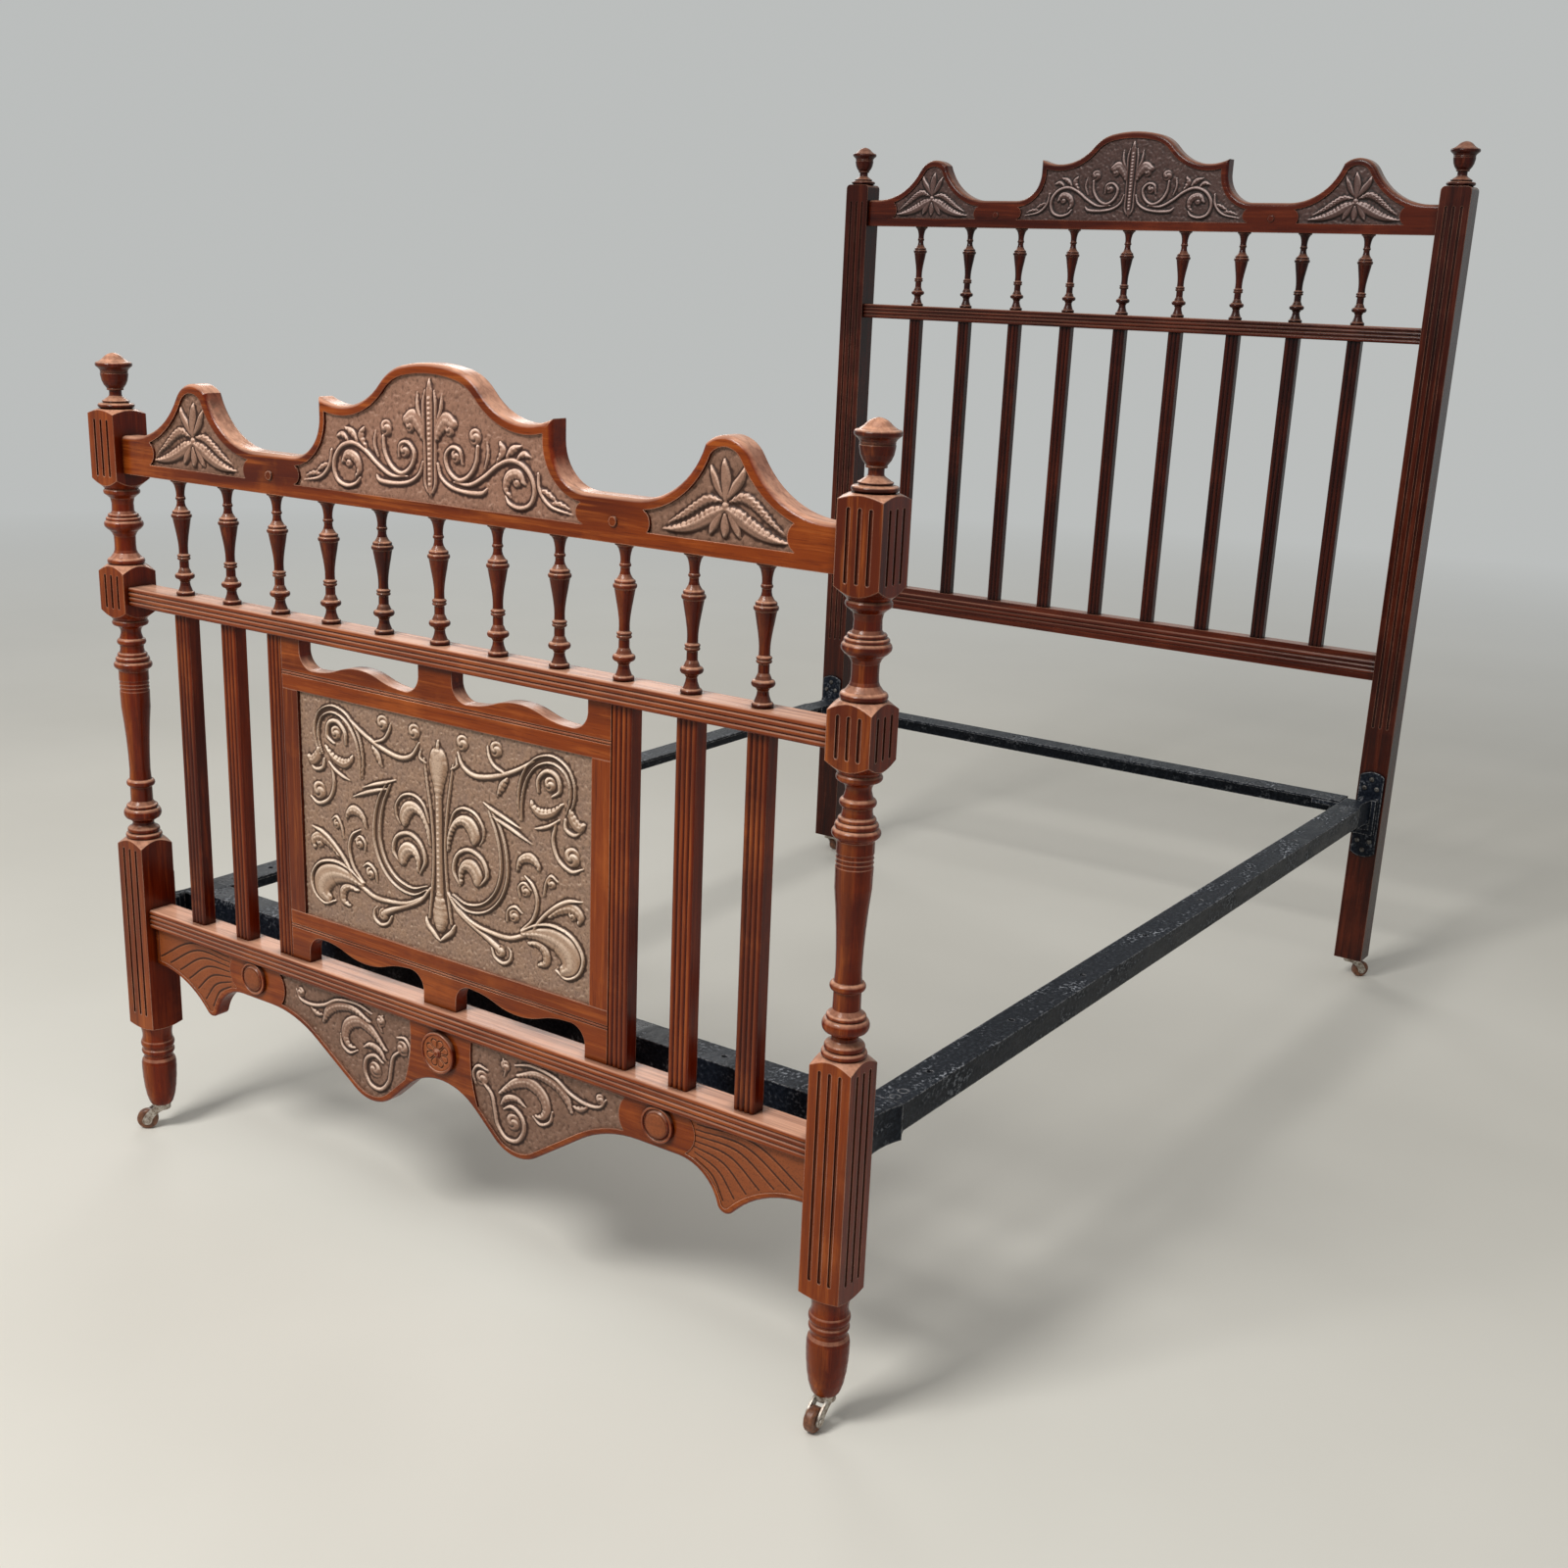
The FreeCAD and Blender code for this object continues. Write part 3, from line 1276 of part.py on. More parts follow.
def castor_axle(name, x, y, yaw):
    """The riveted axle through the horn's arms."""
    body = new_body(f"castor_axle_{name}")
    half = d.wheel_width / 2 + d.horn_side_gap + d.horn_arm_thickness
    sketch = new_sketch(body, "XZ_Plane")
    add_circle(sketch, d.castor_trail, d.wheel_radius, d.axle_radius)
    pad(body, sketch, half * 2, both_ways=True)
    for flank in (-1, 1):
        head = new_sketch(body, "XZ_Plane", half * flank)
        add_circle(head, d.castor_trail, d.wheel_radius, d.axle_head_radius)
        pad(body, head, d.axle_head_height, flipped=flank < 0)
    place(body, x, y, 0, yaw)


def castor_wheel(name, x, y, yaw):
    """The wheel, bored to run on its axle."""
    body = new_body(f"castor_wheel_{name}")
    half = d.wheel_width / 2
    edge = d.wheel_edge
    bend = edge * (1 - math.sqrt(0.5))
    rim = d.wheel_radius
    bore = d.axle_radius + d.running_clearance
    sketch = new_sketch(body, "XY_Plane")
    add_outline(sketch, [
        (bore, -half), (rim - edge, -half), (rim - bend, bend - half, "arc"), (rim, edge - half),
        (rim, half - edge), (rim - bend, half - bend, "arc"), (rim - edge, half), (bore, half),
    ])
    revolve(body, sketch)
    angle = math.radians(yaw)
    place(body, x + d.castor_trail * math.cos(angle), y + d.castor_trail * math.sin(angle), rim, yaw)


def finish():
    """Stop on any failed object, then write each sub-part to its own file."""
    doc.recompute()
    failed = [item.Label for item in doc.Objects if {"Invalid", "Error"} & set(item.State)]
    for part in parts:
        if part.Shape.isNull() or not part.Shape.isValid():
            failed.append(part.Label)
    if failed:
        raise RuntimeError(f"failed objects: {failed}")
    os.makedirs("parts", exist_ok=True)
    for part in parts:
        part.Shape.exportStep(f"parts/{part.Label}.step")


for side_name, side_sign in SIDES.items():
    foot_post(side_name, side_sign)
    head_post(side_name, side_sign)
    finial(f"foot_finial_{side_name}", side_sign, -half_run, d.castor_height + foot_post_length)
    finial(f"head_finial_{side_name}", side_sign, half_run, d.castor_height + d.head_post_length)
    panel_stile(side_name, side_sign)
    stile_middle = (d.panel_frame_half_width + d.foot_bar_width / 2) * side_sign
    bar_row(
        f"reeded_stile_{side_name}", stile_middle, -half_run, foot_low_top, d.foot_mid_level,
        d.foot_bar_width, d.foot_bar_depth, FOOT_BAR_REEDS, d.foot_bar_pitch, 1,
    )
    row_start = d.foot_bar_inner if side_sign > 0 else -(d.foot_bar_inner + d.foot_bar_pitch)
    bar_row(
        f"foot_bars_{side_name}", row_start, -half_run, foot_low_top, d.foot_mid_level,
        d.foot_bar_width, d.foot_bar_depth, FOOT_BAR_REEDS, d.foot_bar_pitch, FOOT_BARS_PER_SIDE,
    )
    side_iron(side_name, side_sign)
    for end_name, end_sign in ENDS.items():
        corner = f"{end_name}_{side_name}"
        corner_casting(corner, side_sign, end_sign)
        post_socket(corner, side_sign, end_sign)
        post_x = half_spacing * side_sign
        post_y = half_run * end_sign
        castor_plate(corner, post_x, post_y)
        castor_horn(corner, post_x, post_y, CASTOR_YAWS[corner])
        castor_axle(corner, post_x, post_y, CASTOR_YAWS[corner])
        castor_wheel(corner, post_x, post_y, CASTOR_YAWS[corner])

crest_rail("foot_crest", -half_run, d.foot_crest_level, foot_clear, d.foot_spindle_pitch, FOOT_SPINDLES)
crest_rail("head_crest", half_run, d.head_crest_level, head_clear, d.head_spindle_pitch, HEAD_SPINDLES)
foot_mid = rail_with_reeds(
    "foot_mid_rail", -half_run, d.foot_mid_level, foot_clear, d.foot_rail_depth, d.foot_mid_height
)
cut_pin_holes(foot_mid, d.foot_mid_height, d.foot_spindle_pitch, FOOT_SPINDLES, upward=False)
rail_with_reeds(
    "foot_bottom_rail", -half_run, d.foot_low_level, foot_clear, d.foot_rail_depth, d.foot_low_height
)
head_mid = rail_with_reeds(
    "head_mid_rail", half_run, d.head_mid_level, head_clear, d.head_rail_depth, d.head_mid_height
)
cut_pin_holes(head_mid, d.head_mid_height, d.head_spindle_pitch, HEAD_SPINDLES, upward=False)
long_rail(
    "head_lower_rail", half_run, d.head_low_level, head_clear,
    reeded_section(d.head_rail_depth, d.head_low_height, d.head_low_plain, HEAD_LOW_REEDS),
    (d.head_low_height - d.rail_tenon_height) / 2,
)
spindle_row(
    "foot_spindles", -half_run, foot_spindle_base, d.foot_crest_level, d.foot_spindle_pitch, FOOT_SPINDLES
)
spindle_row(
    "head_spindles", half_run, head_spindle_base, d.head_crest_level, d.head_spindle_pitch, HEAD_SPINDLES
)
bar_row(
    "head_bars", d.head_spindle_pitch * ((1 - HEAD_SPINDLES) / 2), half_run, head_low_top, d.head_mid_level,
    d.head_bar_width, d.head_bar_depth, HEAD_BAR_REEDS, d.head_spindle_pitch, HEAD_SPINDLES,
)
apron()
apron_bosses()
panel_rail("panel_top_rail", panel_top, 1)
panel_rail("panel_bottom_rail", panel_base, -1)
carved_panel()
cross_iron("foot_cross_iron", FOOT)
cross_iron("head_cross_iron", HEAD)
bracket_screws()
all_studs()
finish()
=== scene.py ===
"""Looks of the double bed: procedural wood and iron, and the carving as relief meshes."""
import math

import bpy
import numpy as np
from mathutils import Matrix, Vector


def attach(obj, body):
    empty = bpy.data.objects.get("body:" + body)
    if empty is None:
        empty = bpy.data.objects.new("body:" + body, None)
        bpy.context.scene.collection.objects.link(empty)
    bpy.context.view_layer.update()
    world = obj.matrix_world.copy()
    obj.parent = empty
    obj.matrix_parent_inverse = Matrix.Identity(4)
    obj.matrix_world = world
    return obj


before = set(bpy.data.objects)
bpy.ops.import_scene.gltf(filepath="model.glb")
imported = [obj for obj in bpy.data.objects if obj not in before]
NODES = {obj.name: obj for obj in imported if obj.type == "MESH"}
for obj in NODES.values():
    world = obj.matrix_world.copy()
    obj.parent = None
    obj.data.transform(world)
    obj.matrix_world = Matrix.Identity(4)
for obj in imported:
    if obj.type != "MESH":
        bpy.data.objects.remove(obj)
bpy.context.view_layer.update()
MM = 0.001
RNG = np.random.default_rng(7)

SIDES = (("left", -1), ("right", 1))

# Carving, in millimetres: the pitch of leaf teeth and of turned rings, the clearance of a ground before
# its board, the least half width of a stroke and the half width at which it has its full height
TOOTH = 7.5
RING = 9.0
LIFT = 0.25
LEAST_WIDTH = 0.6
FULL_WIDTH = 4.5

# Carving, in shares: how much slimmer a plain stroke is than its band, the height that the thinnest
# stroke keeps, and how far from its middle a step of an open band reaches
SLIM = 1.22
THIN_SHARE = 0.25
OPEN_LAP = 0.7

# The curl cut into a bud: its turn from middle to edge, and its depth as a share of the bud's height
CURL_TURN = 6.5
CURL_DEPTH = 0.42

# Ridges and hollows of the carving, in millimetres: how far round a spot its height is compared, the
# difference and the height that count in full, and the height up to which a ground is punched
RIDGE_REACH = 2.6
RIDGE_DEPTH = 2.4
FULL_RISE = 5.5
PUNCHED_BELOW = 1.2

# Shading, in metres: the width of worn edges, on wood and iron also painted highlight, and the reach of
# painted shade in corners
WOOD_EDGE = 0.0020
IRON_EDGE = 0.0032
STEEL_EDGE = 0.0008
WHEEL_EDGE = 0.001
CORNER_REACH = 0.018

# Camera, for an image of 1600 by 1600 pixels
IMAGE = 1600
FOCAL = 1883.4833
PRINCIPAL = (737.1223, 864.5028)
CAMERA_PLACE = (1.7177932, -2.7592242, 1.4016756)
CAMERA_RIGHT = (0.80647118, 0.59044663, 0.03125723)
CAMERA_UP = (-0.20135667, 0.22455327, 0.95343134)
SENSOR = 36.0
CLIP_END = 100.0

# Boards that carry carving: the middle plane of each and how far its ground lies in front of it
FOOT_AXIS = -1.0215
HEAD_AXIS = 1.0215
CREST_GROUND = 11.0
PANEL_GROUND = 5.0
APRON_GROUND = 7.5
WING_GROUND = 9.0
BOSS_GROUND = 15.4
ROUNDEL_CROWN = 17.9

# The head crest's carving is the foot crest's, lifted and spread a little
HEAD_LIFT = 419.0
HEAD_SPREAD = 1.0016

# Grids of the carved grounds, in millimetres: left, right, low and high edge, and pitch
PANEL_GRID = (-274, 274, 471, 809, 1.1)
CREST_GRID = (-268, 268, 1092, 1268, 1.25)
FLANK_GRID = (344, 576, 1092, 1214, 1.25)
APRON_GRID = (50, 342, 208, 366, 1.25)
WING_GRID = (430, 630, 246, 368, 1.0)
ROUNDEL_GRID = (375, 411, 321, 357, 0.8)
ROSETTE_GRID = (-27, 27, 301, 355, 0.6)

# Punching of the grounds: depth in millimetres and cells to a dot
PANEL_PUNCHING = (1.5, 2)
PUNCHING = (1.4, 2)

# Roundels of the apron: middle, radius, heights at three radii, and roughness
ROUNDEL_X = 393
ROUNDEL_Z = 339
ROUNDEL_RADIUS = 17.0
ROUNDEL_RADII = (7.6, 14.0, 17.4)
ROUNDEL_HEIGHTS = (1.2, 0.86, 0.15)
ROUNDEL_ROUGH = 0.5

# Rosette of the apron: height of its middle, radius, face and cut, hub, and a petal's edge as radii
# and angles from the petal's middle
ROSETTE_Z = 328
ROSETTE_RADIUS = 26.3
ROSETTE_FACE = 2.2
ROSETTE_CUT = 3.4
PETAL_LINE = 1.0
HUB_RISE = 3.2
HUB_RADIUS = 4.4
PETALS = 8
PETAL_EDGE = (
    (7.0, -0.16), (14.0, -0.31), (19.0, -0.27), (21.6, 0.0), (19.0, 0.27), (14.0, 0.31), (7.0, 0.16),
)

# Floor, in metres: its half side, and where it starts and ends to fade into the surroundings; then the
# strength of the fill that the surroundings give
FLOOR_HALF = 40.0
FADE_START = 2.6
FADE_END = 8.0
FILL_STRENGTH = 0.30

# Lamps: name, place, aim, size, power in watts, and tint
LAMPS = (
    ("key", (-0.6, -4.2, 4.4), (0.0, -0.9, 0.7), (1.5, 1.5), 192.0, (1.0, 0.98, 0.95)),
    ("window", (-5.0, 4.2, 3.9), (0.0, 0.0, 0.8), (3.0, 2.0), 66.0, (1.0, 0.99, 0.97)),
    ("overhead", (0.3, -1.9, 4.2), (0.3, -1.3, 0.0), (2.2, 2.2), 30.0, (1.0, 0.99, 0.97)),
)

# Sockets of a mix node that mixes colours
MIX_SHARE = 0
MIX_FIRST = 6
MIX_SECOND = 7
MIX_RESULT = 2


class Shader:
    """A material's node tree, with short calls to add and join nodes."""

    def __init__(self, name):
        self.material = bpy.data.materials.new(name)
        self.material.use_nodes = True
        self.tree = self.material.node_tree
        self.tree.nodes.clear()
        self.output = self.add("ShaderNodeOutputMaterial")
        self.surface = self.add("ShaderNodeBsdfPrincipled")
        self.tree.links.new(self.surface.outputs["BSDF"], self.output.inputs["Surface"])
        self.place = self.add("ShaderNodeTexCoord").outputs["Object"]

    def add(self, kind, **settings):
        node = self.tree.nodes.new(kind)
        for key, value in settings.items():
            setattr(node, key, value)
        return node

    def feed(self, node, socket, value):
        """Join an output to an input, or set the input where a plain value is given."""
        target = node.inputs[socket]
        if isinstance(value, bpy.types.NodeSocket):
            self.tree.links.new(value, target)
        else:
            target.default_value = value

    def noise(self, stretch, detail, roughness, distortion=0.0):
        """A noise in the piece's own frame, with a scale for each axis."""
        mapping = self.add("ShaderNodeMapping")
        self.feed(mapping, "Vector", self.place)
        mapping.inputs["Scale"].default_value = stretch
        node = self.add("ShaderNodeTexNoise")
        self.feed(node, "Vector", mapping.outputs["Vector"])
        node.inputs["Scale"].default_value = 1.0
        node.inputs["Detail"].default_value = detail
        node.inputs["Roughness"].default_value = roughness
        node.inputs["Distortion"].default_value = distortion
        return node.outputs["Fac"]

    def attribute(self, name):
        """A value that the mesh carries at its points."""
        return self.add("ShaderNodeAttribute", attribute_name=name).outputs["Fac"]

    def span(self, value, low, high, out_low=0.0, out_high=1.0):
        """Map a value from one range to another, held at the ends."""
        node = self.add("ShaderNodeMapRange")
        self.feed(node, "Value", value)
        node.inputs["From Min"].default_value = low
        node.inputs["From Max"].default_value = high
        node.inputs["To Min"].default_value = out_low
        node.inputs["To Max"].default_value = out_high
        return node.outputs["Result"]

    def math(self, operation, first, second):
        node = self.add("ShaderNodeMath", operation=operation)
        self.feed(node, 0, first)
        self.feed(node, 1, second)
        return node.outputs["Value"]

    def mix(self, share, first, second, blend="MIX"):
        node = self.add("ShaderNodeMix", data_type="RGBA", blend_type=blend)
        self.feed(node, MIX_SHARE, share)
        self.feed(node, MIX_FIRST, first)
        self.feed(node, MIX_SECOND, second)
        return node.outputs[MIX_RESULT]

    def occlusion(self, reach):
        """How open a spot is: 1 on open faces, less in corners and grooves."""
        node = self.add("ShaderNodeAmbientOcclusion", samples=6)
        node.inputs["Distance"].default_value = reach
        return node.outputs["AO"]

    def facing(self, axis):
        """How far a spot faces along an axis of the bed, from -1 to 1."""
        split = self.add("ShaderNodeSeparateXYZ")
        self.feed(split, "Vector", self.add("ShaderNodeNewGeometry").outputs["Normal"])
        return split.outputs[axis]

    def edges(self, radius):
        """How near a sharp edge a spot is, from the difference to the rounded normal."""
        bevel = self.add("ShaderNodeBevel", samples=4)
        bevel.inputs["Radius"].default_value = radius
        flat = self.add("ShaderNodeNewGeometry").outputs["Normal"]
        node = self.add("ShaderNodeVectorMath", operation="DOT_PRODUCT")
        self.feed(node, 0, bevel.outputs["Normal"])
        self.feed(node, 1, flat)
        return self.span(node.outputs["Value"], 0.995, 0.86), bevel.outputs["Normal"]

    def bump(self, height, distance, normal, strength):
        """A normal bent by a height, over a given normal or the mesh's own."""
        node = self.add("ShaderNodeBump")
        node.inputs["Strength"].default_value = strength
        node.inputs["Distance"].default_value = distance
        self.feed(node, "Height", height)
        if normal is not None:
            self.feed(node, "Normal", normal)
        return node.outputs["Normal"]


def colour(red, green, blue):
    """An opaque colour in linear light."""
    return (red, green, blue, 1.0)


# Woods: dark, middle and light grain; the tone of their worn edges, which is also the painted highlight
# on edges and tops; the painted shade that faces other than the front are multiplied by; and the share
# of the dark grain that the painted shade in corners has
FOOT_TONES = (colour(0.070, 0.009, 0.002), colour(0.205, 0.035, 0.003), colour(0.410, 0.104, 0.016))
TURNED_TONES = (colour(0.040, 0.005, 0.001), colour(0.115, 0.017, 0.002), colour(0.270, 0.060, 0.011))
HEAD_TONES = (colour(0.010, 0.001, 0.001), colour(0.044, 0.005, 0.001), colour(0.120, 0.020, 0.006))
HEAD_RAIL_TONES = (colour(0.022, 0.002, 0.001), colour(0.082, 0.011, 0.003), colour(0.190, 0.034, 0.009))
FOOT_WEAR_AND_HIGHLIGHT = colour(0.86, 0.48, 0.32)
TURNED_WEAR_AND_HIGHLIGHT = colour(0.80, 0.42, 0.27)
HEAD_WEAR_AND_HIGHLIGHT = colour(0.46, 0.22, 0.145)
PAINTED_SIDE_SHADE = colour(0.68, 0.36, 0.28)
CORNER_SHADE_SHARES = (0.4, 0.4, 0.45)

# Irons, wheels and surroundings
IRON_TONES = (colour(0.003, 0.0045, 0.008), colour(0.013, 0.018, 0.028))
IRON_SCUFF = colour(0.52, 0.55, 0.60)
IRON_RIM_WEAR_AND_HIGHLIGHT = colour(0.34, 0.34, 0.35)
WHEEL_TONES = (colour(0.09, 0.030, 0.014), colour(0.22, 0.085, 0.038))
WHEEL_RIM = colour(0.30, 0.14, 0.075)
FLOOR_TONES = (colour(0.70, 0.685, 0.625), colour(0.76, 0.745, 0.685))
FILL_TONE = colour(1.0, 0.99, 0.97)
WALL_TONE = colour(0.500, 0.514, 0.507)


def grain_stretch(along, across, axis):
    """Texture scale that is coarse along the grain and fine across it."""
    stretch = [across, across, across]
    stretch["XYZ".index(axis)] = along
    return stretch


def wood(name, axis, tones, wear_and_highlight, gloss):
    """Polished mahogany: tone bands, streaks and pores along the grain, worn edges with painted highlight,
    painted highlight on tops, painted shade on the sides and in corners.
    """
    dark, middle, light = tones
    s = Shader(name)
    bands = s.noise(grain_stretch(1.1, 11.0, axis), 3.0, 0.55, 0.8)
    streaks = s.noise(grain_stretch(5.0, 120.0, axis), 5.0, 0.62, 0.4)
    pores = s.noise(grain_stretch(26.0, 900.0, axis), 2.0, 0.5)
    patches = s.noise((7.5, 7.5, 7.5), 5.0, 0.6)
    tone = s.mix(s.span(bands, 0.30, 0.56), dark, middle)
    tone = s.mix(s.span(patches, 0.52, 0.72, 0.0, 0.5), tone, light)
    tone = s.mix(s.span(streaks, 0.52, 0.74, 0.0, 0.7), tone, light)
    tone = s.mix(s.span(streaks, 0.46, 0.28, 0.0, 0.75), tone, dark)
    tone = s.mix(s.span(pores, 0.42, 0.30, 0.0, 0.6), tone, dark)
    # Painted shade: faces turned away from the front are darkened
    off_front = s.span(s.math("ABSOLUTE", s.facing("Y"), 0.0), 0.97, 0.8)
    tone = s.mix(off_front, tone, PAINTED_SIDE_SHADE, "MULTIPLY")
    near_edge, rounded = s.edges(WOOD_EDGE)
    open_share = s.occlusion(CORNER_REACH)
    # Worn edges lightened toward the wear tone: part wear, part painted highlight
    worn_and_lit = s.math("MULTIPLY", near_edge, s.span(patches, 0.36, 0.62, 0.25, 0.85))
    tone = s.mix(s.math("MULTIPLY", worn_and_lit, s.span(open_share, 0.6, 0.95)), tone, wear_and_highlight)
    # Painted highlight: upward faces lightened toward the wear tone
    lit_tops = s.math("MULTIPLY", s.span(s.facing("Z"), 0.3, 0.85), s.span(streaks, 0.3, 0.6, 0.35, 0.8))
    tone = s.mix(lit_tops, tone, wear_and_highlight)
    # Painted shade: corners and grooves darkened by how closed in they are
    tone = s.mix(s.span(open_share, 0.35, 0.98, 0.95, 0.0), tone, corner_shade(dark))
    s.feed(s.surface, "Base Color", tone)
    rough = s.span(s.math("ADD", streaks, patches), 0.7, 1.3, gloss, gloss + 0.12)
    s.feed(s.surface, "Roughness", rough)
    s.feed(s.surface, "Specular IOR Level", s.span(s.facing("Z"), 0.6, 0.98, 0.21, 0.1))
    relief = s.math("ADD", s.math("MULTIPLY", pores, 0.6), s.math("MULTIPLY", streaks, 0.4))
    s.feed(s.surface, "Normal", s.bump(relief, 0.0004, rounded, 0.5))
    return s.material


def corner_shade(tone):
    """The dark colour of the painted shade in the corners of a wood."""
    return colour(*(part * share for part, share in zip(tone, CORNER_SHADE_SHARES)))


def carved(name, ground, relief, worn_and_lit, dirt_and_shade, gloss):
    """Carved wood: dull ground; relief with wear and painted highlight on its crowns, ridges and upward
    faces; dirt and painted shade in the hollows, painted shade on downward faces; all from the mesh's own
    heights.
    """
    s = Shader(name)
    rise = s.attribute("rise")
    ridge = s.attribute("ridge")
    mottle = s.noise((38.0, 38.0, 38.0), 4.0, 0.6)
    fine = s.noise((520.0, 520.0, 520.0), 2.0, 0.5)
    grain = s.noise((9.0, 90.0, 150.0), 4.0, 0.6)
    base = s.mix(s.span(mottle, 0.35, 0.68, 0.0, 0.6), ground, relief)
    tone = s.mix(s.span(rise, 0.09, 0.36), base, relief)
    # Wear and painted highlight on the highest crowns
    tone = s.mix(s.span(rise, 0.72, 1.0, 0.0, 0.26), tone, worn_and_lit)
    tone = s.mix(s.span(grain, 0.45, 0.28, 0.0, 0.2), tone, dirt_and_shade)
    upward = s.facing("Z")
    # Painted highlight on the upward faces of ridges
    high = s.math("MULTIPLY", s.span(upward, 0.03, 0.36), s.span(ridge, 0.46, 0.6))
    high = s.math("MULTIPLY", high, s.span(mottle, 0.3, 0.6, 0.5, 1.0))
    tone = s.mix(high, tone, worn_and_lit)
    # Wear and painted highlight on the ridges
    tone = s.mix(s.span(ridge, 0.8, 1.0, 0.0, 0.28), tone, worn_and_lit)
    # Painted shade on downward faces
    tone = s.mix(s.span(upward, -0.08, -0.55, 0.0, 0.85), tone, dirt_and_shade)
    # Dirt and painted shade in the hollows beside the relief
    tone = s.mix(s.span(ridge, 0.465, 0.3, 0.0, 0.97), tone, dirt_and_shade)
    tone = s.mix(s.span(fine, 0.46, 0.3, 0.0, 0.5), tone, dirt_and_shade)
    s.feed(s.surface, "Base Color", tone)
    s.feed(s.surface, "Roughness", s.span(ridge, 0.45, 0.7, gloss + 0.22, gloss))
    s.surface.inputs["Specular IOR Level"].default_value = 0.3
    s.feed(s.surface, "Normal", s.bump(fine, 0.0005, None, 0.5))
    return s.material


def black_iron(name, scuff_low, gloss):
    """Black painted iron: scuffed pale on upward faces, edges pale with wear and painted highlight, dusty
    in places.
    """
    s = Shader(name)
    patches = s.noise((30.0, 11.0, 30.0), 5.0, 0.62, 0.6)
    specks = s.noise((190.0, 150.0, 190.0), 4.0, 0.62)
    upward = s.span(s.facing("Z"), 0.4, 0.9, 0.3, 1.0)
    near_edge, rounded = s.edges(IRON_EDGE)
    bare = s.span(patches, scuff_low, scuff_low + 0.16, 0.04, 0.85)
    scuffs = s.math("MULTIPLY", bare, s.span(specks, 0.52, 0.6))
    scuffs = s.math("MULTIPLY", scuffs, upward)
    # Pale edges: part worn paint, part painted highlight
    rim = s.math("MULTIPLY", near_edge, s.span(specks, 0.42, 0.56, 0.1, 0.9))
    tone = s.mix(s.span(specks, 0.3, 0.7), *IRON_TONES)
    tone = s.mix(scuffs, tone, IRON_SCUFF)
    tone = s.mix(rim, tone, IRON_RIM_WEAR_AND_HIGHLIGHT)
    s.feed(s.surface, "Base Color", tone)
    s.feed(s.surface, "Roughness", s.span(patches, 0.35, 0.7, gloss, gloss + 0.25))
    s.surface.inputs["Specular IOR Level"].default_value = 0.08
    s.feed(s.surface, "Normal", s.bump(specks, 0.0006, rounded, 0.5))
    return s.material


def dull_steel(name, tone, rust, gloss):
    """Bare steel with brown tarnish."""
    s = Shader(name)
    patches = s.noise((150.0, 150.0, 150.0), 6.0, 0.65)
    scratch = s.noise((900.0, 900.0, 120.0), 3.0, 0.5)
    near_edge, rounded = s.edges(STEEL_EDGE)
    base = s.mix(s.span(patches, 0.42, 0.62, 0.0, 0.85), tone, rust)
    s.feed(s.surface, "Base Color", s.mix(near_edge, base, tone))
    s.surface.inputs["Metallic"].default_value = 0.85
    s.feed(s.surface, "Roughness", s.span(scratch, 0.3, 0.7, gloss, gloss + 0.2))
    s.feed(s.surface, "Normal", s.bump(scratch, 0.0002, rounded, 0.4))
    return s.material


def turned_wheel(name):
    """The castors' dark brown wheels."""
    s = Shader(name)
    mottle = s.noise((160.0, 160.0, 160.0), 5.0, 0.6)
    base = s.mix(s.span(mottle, 0.35, 0.65), *WHEEL_TONES)
    near_edge, rounded = s.edges(WHEEL_EDGE)
    s.feed(s.surface, "Base Color", s.mix(near_edge, base, WHEEL_RIM))
    s.feed(s.surface, "Roughness", s.span(mottle, 0.3, 0.7, 0.28, 0.5))
    s.feed(s.surface, "Normal", s.bump(mottle, 0.0003, rounded, 0.3))
    return s.material


